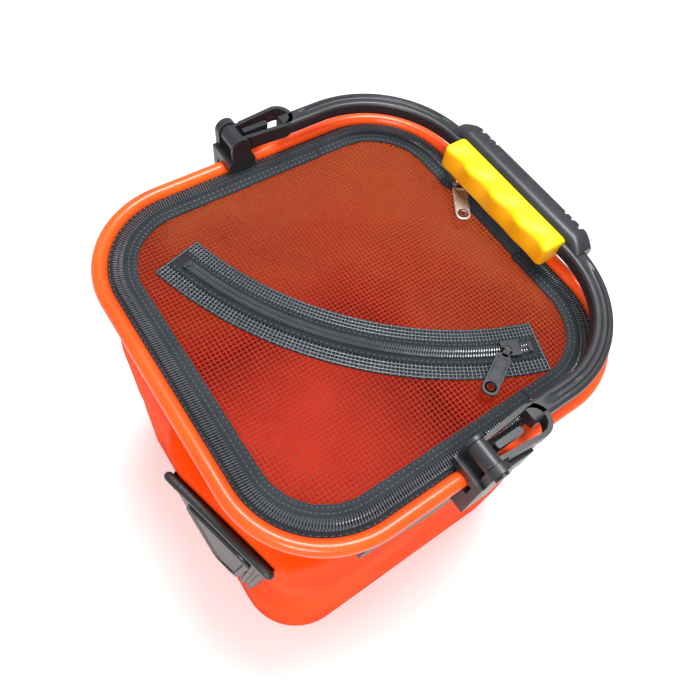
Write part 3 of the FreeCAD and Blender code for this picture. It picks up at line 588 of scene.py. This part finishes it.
def rim_piping():
    """The welded roll round the rim, with a butt weld and slight flats, and the fin below it."""
    s = stations(0, LAP, 1.6)[:-1]
    origin, normal = rim_track(s)
    angle = np.linspace(0, 2 * PI, 24, endpoint=False)
    ring = np.stack([np.cos(angle), np.sin(angle)], -1) * 4.5
    lumps = 1 + 0.012 * wobble(origin, 0.06, 5.0)[:, None, None]
    weld = 1 - 0.06 * np.exp(-((s - 0.5 * SIDE) / 1.2) ** 2)[:, None, None]
    section = ring * lumps * weld + np.array([BEAD_OFFSET, BEAD_LEVEL])
    points, faces, _ = swept(origin, normal, np.broadcast_to(UP, origin.shape), section, closed=True)
    hem = rounded_box(0.9, 4.4, 0.6, 3, (9.5, 239.2))
    more, those, _ = swept(origin, normal, np.broadcast_to(UP, origin.shape), hem, closed=True)
    points, faces = joined([(points, faces), (more, those)])
    return piece("rim_piping", "bucket", "eva_bead", points, faces, stands_for=["rim_bead"])


# ---------------------------------------------------------------- rim zip and lid

TAPE_LOW, TAPE_TOP, COIL_TOP = 244.7, 245.7, 247.9


def band(name, body, s, inner, outer, low, high, slot, paint=None, pucker=0.0, stands_for=(), track=rim_track,
         scale=1.0, seed=1.0, roll=0.0):
    """A band of woven tape along a track, puckered by its sewing. Gives the piece and its length."""
    step = 1.5 / scale
    places = stations(*s, step)
    origin, normal = track(places)
    width = outer - inner
    across = np.linspace(0, 1, 13)
    wave = wobble(origin, 0.11, seed)
    fine = wobble(origin, 0.33, seed + 4)
    rows = []
    for k in range(len(places)):
        edge = inner + pucker * (0.8 * wave[k] + 0.5 * fine[k])
        swell = roll * np.sin(PI * across) + pucker * 0.35 * fine[k] * np.sin(2 * PI * across)
        top = np.stack([edge + (outer - edge) * across, high + swell], -1)
        bottom = np.stack([edge + (outer - edge) * across[::-1], np.full(13, low)], -1)
        rows.append(np.concatenate([bottom, top]))
    points, faces, lay = along(track, places, np.array(rows)[:, ::-1])
    made = piece(name, body, slot, points, faces, lay, paint, stands_for)
    length = abs(s[1] - s[0]) * scale
    middle = (inner + outer) / 2
    if track is rim_track:
        area = np.linalg.norm(np.diff(origin + normal * middle, axis=0), axis=1).sum() * width
    else:
        area = length * (ARC_RADIUS + middle) / ARC_RADIUS * width
    return made, area * MM * MM, length * MM, width * MM


def declare(made):
    """Work out a band's flat size from its length, area and width; nothing is kept."""
    thing, area, length, width = made
    size = max(length, area / width)
    min(area, width * size)


def coil_piece(name, body, slot, made, stands_for):
    return piece(name, body, slot, *made, stands_for=stands_for)


def rim_zip():
    span = (S_HINGE_FROM + 0.5, LAP + S_HINGE_TO - 0.5)
    tape = band("rim_tape", "bucket", span, 0.15, 10.3, TAPE_LOW, TAPE_TOP, "zip_tape",
                stands_for=["rim_zip_tape"], seed=2.0)
    chain = coil_piece("rim_coil", "bucket", "zip_coil",
                       coil(rim_track, (S_HINGE_FROM + 1, LAP + S_HINGE_TO - 3), 1.55, 1.0,
                            -0.35, 3.3, TAPE_TOP - 0.1, COIL_TOP, 0.36, 0.0), ["rim_zip_coil"])
    sewn = piece("rim_tape_stitches", "bucket", "zip_tape", paint="thread",
                 *stitches(rim_track, (S_HINGE_FROM + 2, LAP + S_HINGE_TO - 2), 1.0, 4.9, TAPE_TOP))
    declare(tape)


def lid_edge(label, body, pieces, stands_tape, stands_coil):
    """Edge tape, coil and sewing of the lid, in one or two runs."""
    for k, s in enumerate(pieces):
        tag = label if len(pieces) == 1 else f"{label}_{'right' if k == 0 else 'left'}"
        tape = band(f"edge_tape_{tag}", body, s, -10.35, -0.15, TAPE_LOW, TAPE_TOP, "zip_tape", "edge_tape",
                    pucker=0.55, roll=0.55, stands_for=stands_tape, seed=6.0 + k)
        chain = coil_piece(f"edge_coil_{tag}", body, "zip_coil",
                           coil(rim_track, s, 1.55, 1.0, -3.3, 0.35, TAPE_TOP - 0.1, COIL_TOP, 0.36, PI),
                           stands_coil)
        rows = [stitches(rim_track, (s[0] + 1, s[1] - 1), 1.0, offset, TAPE_TOP + rise)
                for offset, rise in ((-5.8, 0.5), (-8.9, 0.25))]
        sewn = piece(f"edge_stitches_{tag}", body, "zip_tape", *joined(rows), paint="thread")
        declare(tape)


OUTLINE, OUTLINE_CORNER = 103.3, 40.3


def edge_at(v):
    """Half the net's width at a distance v from its middle."""
    over = abs(v) - (OUTLINE - OUTLINE_CORNER)
    if over <= 0:
        return OUTLINE
    return OUTLINE - OUTLINE_CORNER + math.sqrt(max(0, OUTLINE_CORNER ** 2 - over ** 2))


def net_level(x, y):
    """How far the slack net hangs below its edge tape; the bowed strip holds it up."""
    reach = np.hypot(x - ARC_CENTRE[0], y - ARC_CENTRE[1]) - ARC_RADIUS
    from_strip = np.clip(np.abs(reach) - 17, 0, None)
    free = 1 - np.exp(-(from_strip / 20) ** 2)
    edge = np.clip(1 - (x / OUTLINE) ** 4, 0, 1) * np.clip(1 - (y / OUTLINE) ** 4, 0, 1)
    ripple = 0.8 * np.sin(0.09 * x + 0.13 * y) * np.exp(-((x + 62) ** 2 + (y - 60) ** 2) / 1500)
    ripple += 0.5 * np.sin(0.16 * x - 0.07 * y) * np.exp(-((x + 70) ** 2 + (y + 40) ** 2) / 1800)
    return (-2.2 * edge + ripple) * free


def net_strands(wire, lines):
    """Woven strands, open at their ends. lines gives each strand's path without the weave."""
    parts = []
    for k, path in enumerate(lines):
        path = np.array(path, float)
        path[:, 2] += np.where((np.arange(len(path)) + k) % 2, 0.5, -0.5) * wire
        points, faces, _ = tube(path, wire, 4, phase=PI / 4, caps=False)
        parts.append((points, faces))
    return parts


def lid_net():
    """The net: strands both ways on a 2.55 mm pitch, one cloth from the hinge to the front."""
    pitch, wire = 2.55, 0.26
    count = int(OUTLINE / pitch)
    levels = np.arange(-count, count + 1) * pitch
    parts = []
    for way in (0, 1):
        lines = []
        for v in levels:
            reach = edge_at(v)
            u = np.concatenate([[-reach], levels[np.abs(levels) < reach - 0.4], [reach]])
            x, y = (u, np.full(len(u), v)) if way == 0 else (np.full(len(u), v), u)
            if way == 0 and SEAM - 1 < v < FOLD + 4:
                x = np.clip(x, -99.6, 99.6)
            elif way == 1 and abs(v) > 99.6:
                y = np.minimum(y, SEAM - 1)
            keep = np.concatenate([[True], np.hypot(np.diff(x), np.diff(y)) > 0.05])
            x, y = x[keep], y[keep]
            if len(x) < 3:
                continue
            lines.append(np.stack([x, y, 244.2 + net_level(x, y)], -1))
        parts += net_strands(wire, lines)
    points, faces = joined(parts)
    net = piece("lid_net", None, "net", points, faces, sharp=None,
                stands_for=["lid_mesh_front", "lid_mesh_rear"])
    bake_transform(net)


def hinge_cloth():
    """The cloth that joins the lid to the rim, folded double with a row of sewing each side."""
    x = np.linspace(HINGE_FROM + 0.3, HINGE_TO - 2.6, 60)
    y = np.linspace(101.5, 118.6, 26)
    grid_x, grid_y = np.meshgrid(x, y, indexing="ij")
    flat = np.stack([grid_x.ravel(), grid_y.ravel(), 0 * grid_x.ravel()], -1)
    swell = np.sin((grid_y.ravel() - 101.5) / 17.1 * PI)
    top = 245.7 + 0.9 * swell + 0.35 * wobble(flat, 0.12, 7.0) * swell
    upper = flat + UP * top[:, None]
    lower = flat + UP * 244.75
    rows, columns = grid_x.shape
    faces = [f[::-1] for f in grid_faces(rows, columns)] + grid_faces(rows, columns, start=rows * columns)
    border = [i * columns for i in range(rows)] + [(rows - 1) * columns + j for j in range(1, columns)] \
        + [i * columns + columns - 1 for i in range(rows - 2, -1, -1)] + list(range(columns - 2, 0, -1))
    for a, b in zip(border, border[1:] + border[:1]):
        faces.append((a, b, b + rows * columns, a + rows * columns))
    points = np.concatenate([upper, lower])
    cloth = piece("hinge_cloth", "bucket", "hinge_cloth", points, faces, lay=points,
                  stands_for=["lid_hinge_cloth"])
    rows_sewn = [stitches(rim_track, (S_HINGE_TO + 4, S_HINGE_FROM - 2), 1.0, offset, level)
                 for offset, level in ((-6.6, 246.1), (5.2, 246.6))]
    sewn = piece("hinge_stitches", "bucket", "hinge_cloth", *joined(rows_sewn), paint="thread")


STRIP = (-75.8, -18.5)
STRIP_HALF, STRIP_TOP, MID_TOP = 16.0, 245.5, 246.2
DEG = ARC_RADIUS * PI / 180                 # mm of arc per degree


def mid_strip():
    """The bowed strip of heavy net on a backing, its zip tape, coils and sewing."""
    backing = band("mid_strip_backing", "lid", STRIP, -STRIP_HALF, STRIP_HALF, TAPE_LOW, TAPE_LOW + 0.35,
                   "strip_net", "strip_cloth", pucker=0.5, stands_for=["mid_strip"], track=arc_track,
                   scale=DEG, seed=9.0)
    pitch, wire = 2.15, 0.36
    rows = np.arange(-7, 8) * pitch
    columns = np.arange(STRIP[0] + 0.3, STRIP[1] - 0.2, pitch / DEG)
    level = TAPE_LOW + 0.75
    lines = []
    for v in rows:
        origin, normal = arc_track(columns)
        lines.append(origin + normal * v + UP * level)
    parts = net_strands(wire, lines)
    lines = []
    for c in columns:
        origin, normal = arc_track(np.full(len(rows) + 2, c))
        reach = np.concatenate([[-15.9], rows, [15.9]])
        lines.append(origin + normal * reach[:, None] + UP * level)
    parts += net_strands(wire, lines)
    heavy = piece("mid_strip_net", "lid", "strip_net", *joined(parts), sharp=None)
    tape = band("mid_tape", "lid", (-75.2, -19.2), -7, 7, STRIP_TOP + 0.1, MID_TOP, "zip_tape",
                stands_for=["mid_zip_tape"], track=arc_track, scale=DEG, seed=12.0, pucker=0.15)
    span = (-72.8, -20.8)
    coils = [coil_piece("mid_coil_inner", "lid", "zip_coil",
                        coil(arc_track, span, 1.5, DEG, -3.3, 0.35, MID_TOP - 0.1, 248.1, 0.36, 0.0),
                        ["mid_zip_coil_inner"]),
             coil_piece("mid_coil_outer", "lid", "zip_coil",
                        coil(arc_track, span, 1.5, DEG, -0.35, 3.3, MID_TOP - 0.1, 248.1, 0.36, PI),
                        ["mid_zip_coil_outer"])]
    rows_sewn = [stitches(arc_track, (-74.8, -19.6), DEG, offset, level)
                 for offset, level in ((-5.6, MID_TOP), (5.6, MID_TOP), (-14.6, 245.9), (14.6, 245.9))]
    sewn = piece("mid_stitches", "lid", "zip_tape", *joined(rows_sewn), paint="thread")
    declare(backing)
    declare(tape)


# ---------------------------------------------------------------- pocket and patches

def on_pocket(points):
    """From the pocket face's own axes, with local -Y outward, to the object's."""
    c, d = math.cos(POCKET_TURN), math.sin(POCKET_TURN)
    points = np.asarray(points, float)
    x, y = points[..., 0], points[..., 1]
    return np.stack([x * c - y * d + POCKET_X, x * d + y * c + POCKET_Y, points[..., 2]], -1)


def wall_depth(x, z):
    """How far behind the pocket's face, in its own axes, the wall's skin lies."""
    rise = (z - WALL_LOW) / (WALL_HIGH - WALL_LOW)
    half, centre = 123 - 3.5 * rise, 78 - 15 * rise
    depth = np.zeros_like(x)
    for _ in range(12):
        place = on_pocket(np.stack([x, depth, np.full_like(x, z)], -1))
        over = np.clip(place[:, 0] - centre, 0, None)
        skin = -(centre + np.sqrt(np.clip((half - centre) ** 2 - over ** 2, 1, None)))
        depth += np.clip(skin - place[:, 1], -20, 20) * 0.8
    return depth


def pocket_shell():
    """The moulded pocket: a face that rounds back to the wall at its sides and foot, with two ribs."""
    low, high = 95.0, 210.0
    right, v = np.linspace(13, 0, 53), np.linspace(0, 1, 81)     # mm from the right side, and share of height
    skins = []
    for inset in (0.0, 2.0):
        rows = []
        for t in v:
            z = low + (high - low) * t
            half = 22 + 16 * t
            reach = half - inset * 0.5
            x = np.concatenate([np.linspace(-reach, reach - 13, 50)[:-1], reach - right])
            skin = wall_depth(x, z)
            back = skin - swell(x, skin, z, WALL_TO_LIP) + 0.8
            side = np.clip((half - np.abs(x)) / 5.5, 0, 1)
            foot = min(1, (z - low) / 12)
            rounded = np.minimum(np.sqrt(1 - (1 - side) ** 2), math.sqrt(max(0, 1 - (1 - foot) ** 2)))
            y = back * (1 - rounded) + inset * rounded
            if not inset:
                ends = min(1, foot * (1 - t) * 9)
                for place in (half - 3.2, half - 9.2):
                    y -= 2.0 * np.exp(-((x - place) / 1.6) ** 4) * ends
            rows.append(on_pocket(np.stack([x, y, np.full_like(x, z)], -1)))
        skins.append(np.array(rows))
    rows, columns = skins[0].shape[:2]
    total = rows * columns
    faces = grid_faces(rows, columns) + [f[::-1] for f in grid_faces(rows, columns, start=total)]
    edge = [(rows - 1) * columns + j for j in range(columns)]
    faces += [(b, a, a + total, b + total) for a, b in zip(edge, edge[1:])]
    points = np.concatenate([skin.reshape(-1, 3) for skin in skins])
    return piece("pocket_moulding", "bucket", "pocket_eva", points, faces, stands_for=["pocket_shell"])


def trapezoid(low, high, half_low, half_high, corner):
    """A round-cornered trapezoid in (x, z), evenly divided."""
    ring = []
    for k, (cx, cz) in enumerate([(half_low, low), (half_high, high), (-half_high, high), (-half_low, low)]):
        sx, sz = (1, 1, -1, -1)[k], (-1, 1, 1, -1)[k]
        for i in range(7):
            angle = (k - 1) * PI / 2 + i / 6 * PI / 2
            ring.append((cx - sx * corner + corner * math.cos(angle),
                         cz - sz * corner + corner * math.sin(angle)))
    ring = np.array(ring)
    dense = []
    for a, b in zip(ring, np.roll(ring, -1, 0)):
        count = max(1, int(np.linalg.norm(b - a) / 3))
        dense += [a + (b - a) * i / count for i in range(count)]
    return np.array(dense)


def pocket_trim():
    """The rolled lip along the pocket's mouth, the raised border and the panel inside it."""
    x = np.linspace(-39.9, 39.9, 60)
    fall = 1.2 * (x / 39.9) ** 4
    ends = np.sqrt(np.clip(1 - (np.abs(x) / 40.2) ** 30, 0.02, 1))[:, None, None]
    path = on_pocket(np.stack([x, 1.0 + 0 * x, 212.5 - fall], -1))
    outward = np.array([math.sin(POCKET_TURN), -math.cos(POCKET_TURN), 0.0])
    section = rounded_box(2.7, 2.5, 2.2, 5) * ends
    side = np.broadcast_to(outward, path.shape)
    points, faces, _ = swept(path, side, np.broadcast_to(UP, path.shape), section)
    piece("pocket_lip_roll", "bucket", "pocket_eva", points, faces, stands_for=["pocket_lip"])

    loop = trapezoid(109, 196, 10.3, 23, 7)
    path = on_pocket(np.stack([loop[:, 0], np.full(len(loop), -0.5), loop[:, 1]], -1))
    points, faces, _ = tube(path, 2.0, 12, closed=True, guide=outward)
    piece("pocket_border", "bucket", "pocket_eva", points, faces, stands_for=["pocket_frame"])
    inside = trapezoid(111.3, 193.7, 8.4, 20.7, 5)
    centre = inside.mean(0)
    steps = [(1.0, 0.4), (0.99, -0.9), (0.96, -1.25), (0.92, -1.35), (0.5, -1.4), (0.02, -1.4)]
    rings = [on_pocket(np.stack([centre[0] + (inside[:, 0] - centre[0]) * t, np.full(len(inside), y),
                                 centre[1] + (inside[:, 1] - centre[1]) * t], -1)) for t, y in steps]
    faces = grid_faces(len(rings), len(inside), False, True)
    faces.append(tuple((len(rings) - 1) * len(inside) + i for i in range(len(inside))))
    piece("pocket_inlay", "bucket", "patch", np.concatenate(rings), faces, stands_for=["pocket_panel"])


# ---------------------------------------------------------------- handle

BAR_LEVEL, BAR_START = 266.0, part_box("bail_bar")[0].y / MM


def bail_track(step=2.0):
    """The bail's centre line from one eye to the other, with its inward-facing side."""
    points, sides = [], []
    for y in np.arange(BAR_START, 51, step):
        points.append((-116.3, y, BAR_LEVEL))
        sides.append((-1.0, 0.0, 0.0))
    for angle in np.linspace(PI, PI / 2, int(66 * PI / 2 / step)):
        points.append((-50.3 + 66 * math.cos(angle), 51 + 66 * math.sin(angle), BAR_LEVEL))
        sides.append((math.cos(angle), math.sin(angle), 0.0))
    half = np.array(points), np.array(sides)
    flip = np.array([-1.0, 1.0, 1.0])
    return (np.concatenate([half[0], half[0][::-1] * flip]), np.concatenate([half[1], half[1][::-1] * flip]))


def bar_section(half_a, half_b, corner, groove):
    """A rounded bar section with a shallow channel along its top and its underside."""
    ring = rounded_box(half_a, half_b, corner, 5)
    out = []
    for a, b in zip(ring, np.roll(ring, -1, 0)):
        out.append(a)
        if abs(a[0] - b[0]) > half_a * 0.8:
            for t, dip in ((0.18, 0.0), (0.26, 0.8), (0.36, 1.0), (0.64, 1.0), (0.74, 0.8), (0.82, 0.0)):
                spot = a + (b - a) * t
                out.append(spot - np.array([0, math.copysign(groove * dip, spot[1])]))
    return np.array(out)


def bail():
    origin, side = bail_track()
    from_end = np.minimum(np.arange(len(origin)), np.arange(len(origin))[::-1]) * 2.0
    plain, grooved = bar_section(5.5, 4.5, 2.2, 0.0), bar_section(5.5, 4.5, 2.2, 1.15)
    open_share = np.clip((from_end - 12) / 8, 0, 1)[:, None, None]
    near_grip = np.clip((np.abs(origin[:, 0]) - 62) / 10, 0, 1)[:, None, None]
    section = plain + (grooved - plain) * open_share * near_grip
    points, faces, _ = swept(origin, side, np.broadcast_to(UP, origin.shape), section)
    piece("bail", "handle", "black_plastic", points, faces, stands_for=["bail_bar"])


def grip():
    """The moulded grip shell with its notches and shoulders, and the finger insert."""
    x = np.linspace(-57.9, 57.9, 240)
    side = np.broadcast_to((0.0, 1.0, 0.0), (len(x), 3))
    up = np.broadcast_to(UP, side.shape)
    origin = np.stack([x, 0 * x, 0 * x], -1)
    shell, insert = [], []
    for place in x:
        far = abs(place)
        shoulder = np.clip((far - 47) / 10.9, 0, 1) ** 1.6
        notch = 2.6 * math.exp(-((far - 44.5) / 1.5) ** 4)
        notch += sum(1.5 * math.exp(-((far - spot) / 1.1) ** 4) for spot in (37.5, 32.0))
        outer = 131 - notch - 3.2 * shoulder
        inner = 115.1 - 3.5 * shoulder
        half_b = 9.5 - 3.6 * shoulder
        middle = ((inner + outer) / 2, BAR_LEVEL)
        half_a = (outer - inner) / 2
        shell.append(rounded_box(half_a, half_b, min(5.2, half_a - 0.2, half_b - 0.3), 6, middle))
    points, faces, _ = swept(origin, side, up, np.array(shell))
    piece("grip_moulding", "handle", "black_plastic", points, faces, stands_for=["grip_shell"])

    x = np.linspace(-46.9, 46.9, 230)
    origin = np.stack([x, 0 * x, 0 * x], -1)
    side, up = side[:len(x)], up[:len(x)]
    for place in x:
        finger = 0.5 + 0.5 * math.cos(2 * PI * (place - 11.5) / 23)
        bite = 4.2 * finger
        end = np.clip((abs(place) - 43.4) / 3.5, 0, 1)
        close = 1 - math.sqrt(max(0.0, 1 - end ** 2))
        ring = rounded_box(8.45, 8.5 - 1.5 * close, 3.2, 6, (106.5, BAR_LEVEL))
        face = np.clip((107 - ring[:, 0]) / 9, 0, 1)
        top = np.clip((ring[:, 1] - BAR_LEVEL + 2.5) / 11, 0, 1) ** 1.2
        ring[:, 0] += face * (bite * (0.1 + 0.9 * top) + 2.2 * close)
        ring[:, 1] -= 2.0 * top * face ** 1.5 * finger
        insert.append(ring)
    points, faces, _ = swept(origin, side, up, np.array(insert))
    piece("finger_insert", "handle", "yellow_rubber", points, faces, stands_for=["grip_insert"])


def outline_plate(outlines, low, high, edge):
    """A plate cut to closed outlines, holes and all, with softened edges. Gives points and faces."""
    data = bpy.data.curves.new("outline", "CURVE")
    data.dimensions, data.fill_mode = "2D", "BOTH"
    data.extrude, data.bevel_depth, data.bevel_resolution = (high - low) / 2 - edge, edge, 2
    for outline in outlines:
        spline = data.splines.new("POLY")
        spline.points.add(len(outline) - 1)
        spline.points.foreach_set("co", np.c_[outline, 0 * outline[:, :1], 1 + 0 * outline[:, :1]].ravel())
        spline.use_cyclic_u = True
    thing = bpy.data.objects.new("outline", data)
    mesh = bpy.data.meshes.new_from_object(thing)
    points = np.array([v.co for v in mesh.vertices]) + UP * (low + high) / 2
    faces = [tuple(face.vertices) for face in mesh.polygons]
    bpy.data.objects.remove(thing)
    bpy.data.meshes.remove(mesh)
    return points, faces


def pull_tab(name, body, slot, node, pivot, heading):
    """A die-cast pull tab: raised border, recessed plate, a hole at its end and an eye on the pin."""
    angle = np.linspace(0, 2 * PI, 32, endpoint=False)
    circle = np.stack([np.cos(angle), np.sin(angle)], -1)

    def slab(x0, x1, half, corner):
        return rounded_box((x1 - x0) / 2, half, corner, 6, ((x0 + x1) / 2, 0))

    edge, hole = slab(4.2, 32, 4.5, 3.6), circle * 2.4 + (27.5, 0)
    plate = outline_plate([edge * (0.985, 0.93) + (0.2, 0), hole], -0.4, 0.4, 0.08)
    border = outline_plate([edge, slab(7.0, 23.4, 3.2, 1.4), hole], -0.8, 0.8, 0.28)
    washer = outline_plate([circle * 3.4 + (27.5, 0), circle * 2.35 + (27.5, 0)], -0.8, 0.8, 0.25)
    neck = outline_plate([slab(1.2, 6, 1.65, 0.4)], -0.8, 0.8, 0.25)
    turn = np.linspace(-2.6, 2.6, 20)
    eye_path = np.stack([1.28 * np.cos(turn + PI), 0 * turn, 1.28 * np.sin(turn + PI)], -1)
    out = np.stack([np.cos(turn + PI), 0 * turn, np.sin(turn + PI)], -1)
    eye = swept(eye_path, out, np.broadcast_to((0.0, 1.0, 0.0), out.shape),
                rounded_box(0.38, 1.65, 0.2, 3))[:2]
    points, faces = joined([plate, border, washer, neck, eye])
    c, d = math.cos(math.radians(heading)), math.sin(math.radians(heading))
    box = [np.array(corner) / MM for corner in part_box(node)]
    level = (box[0][2] + box[1][2]) / 2
    x, y = points[:, 0] * c - points[:, 1] * d + pivot[0], points[:, 0] * d + points[:, 1] * c + pivot[1]
    points = np.stack([x, y, points[:, 2] + level], -1)
    piece(name, body, slot, points, faces, stands_for=[node], sharp=35)


# ---------------------------------------------------------------- camera and light

def studio():
    mesh = bpy.data.meshes.new("floor")
    rows = 40
    size = 3.0
    grid = np.linspace(-size, size, rows)
    gx, gy = np.meshgrid(grid, grid, indexing="ij")
    mesh.from_pydata(np.stack([gx.ravel(), gy.ravel(), 0 * gx.ravel() - 0.0005], -1).tolist(), [],
                     [f[::-1] for f in grid_faces(rows, rows)])
    floor = bpy.data.objects.new("floor", mesh)
    paint = Paint("studio floor", Specular_IOR_Level=0.2)
    tone = paint.cloud(paint.place(), 3, 2)
    pale = paint.mix(tone, (0.86, 0.86, 0.86, 1), (0.9, 0.9, 0.9, 1))
    mesh.materials.append(paint.finish(pale, tone * 0.1 + 0.6))
    bpy.context.scene.collection.objects.link(floor)

    world = bpy.data.worlds.new("studio")
    bpy.context.scene.world = world
    world.use_nodes = True
    world.node_tree.nodes["Background"].inputs[0].default_value = (1, 1, 1, 1)
    world.node_tree.nodes["Background"].inputs[1].default_value = 0.62

    def softbox(name, place, aim, size, power):
        light = bpy.data.lights.new(name, "AREA")
        light.shape, light.size, light.energy = "DISK", size, power
        thing = bpy.data.objects.new(name, light)
        thing.location = place
        thing.rotation_euler = (Vector(aim) - Vector(place)).to_track_quat("-Z", "Y").to_euler()
        bpy.context.scene.collection.objects.link(thing)

    softbox("key", (-0.15, 0.25, 1.6), (0, 0, 0.12), 0.6, 24)
    softbox("fill", (0.75, -0.75, 1.1), (0, 0, 0.1), 0.5, 12)

    camera_data = bpy.data.cameras.new("camera")
    camera_data.lens, camera_data.sensor_width = 33.03, 36
    camera_data.clip_start = 0.01
    camera = bpy.data.objects.new("camera", camera_data)
    right = Vector((0.5658, 0.8175, 0.1073)).normalized()
    back = Vector((0.3465, -0.3538, 0.8688)).normalized()
    up = back.cross(right).normalized()
    right = up.cross(back)
    turn = Matrix((right, up, back)).transposed().to_4x4()
    camera.matrix_world = Matrix.Translation((0.1526, -0.1487, 0.5526)) @ turn
    bpy.context.scene.collection.objects.link(camera)
    bpy.context.scene.camera = camera
    bpy.context.scene.view_settings.view_transform = "Standard"


# ---------------------------------------------------------------- build

studio()
eva_wall()
eva_base()
rim_piping()
rim_zip()
lid_edge("front", "lid", [(S_SEAM_LEFT + 0.2, LAP + S_SEAM_RIGHT - 0.2)], ["lid_tape_front"],
         ["lid_coil_front"])
lid_edge("rear", "bucket", [(S_SEAM_RIGHT + 0.2, S_HINGE_TO + 2.2), (S_HINGE_FROM + 0.1, S_SEAM_LEFT - 0.2)],
         ["lid_tape_rear"], ["lid_coil_rear"])
lid_net()
hinge_cloth()
mid_strip()
pocket_shell()
pocket_trim()
bail()
grip()
pull_tab("rim_tab", "rim_tab", "nickel", "rim_pull_tab", (-34.0, 105.8), -33)
pull_tab("mid_tab", "mid_tab", "black_metal", "mid_pull_tab", (77.9, 50.1), -62)

NODE_SLOTS = {
    "steel_hoop": ["rim_hoop"],
    "black_plastic": ["anchor_left", "anchor_right", "snap_hook_left", "snap_hook_right",
                      "hook_gate_left", "hook_gate_right"],
    "nickel": ["rim_slider"],
    "black_metal": ["mid_slider", "pivot_pin_left", "pivot_pin_right", "rim_zip_stop",
                    "mid_zip_stop_lower", "mid_zip_stop_upper"],
    "patch": ["wall_patch_left", "wall_patch_right"],
}
for slot, names in NODE_SLOTS.items():
    for name in names:
        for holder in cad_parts[name].material_slots:
            holder.material = PAINTS[slot]
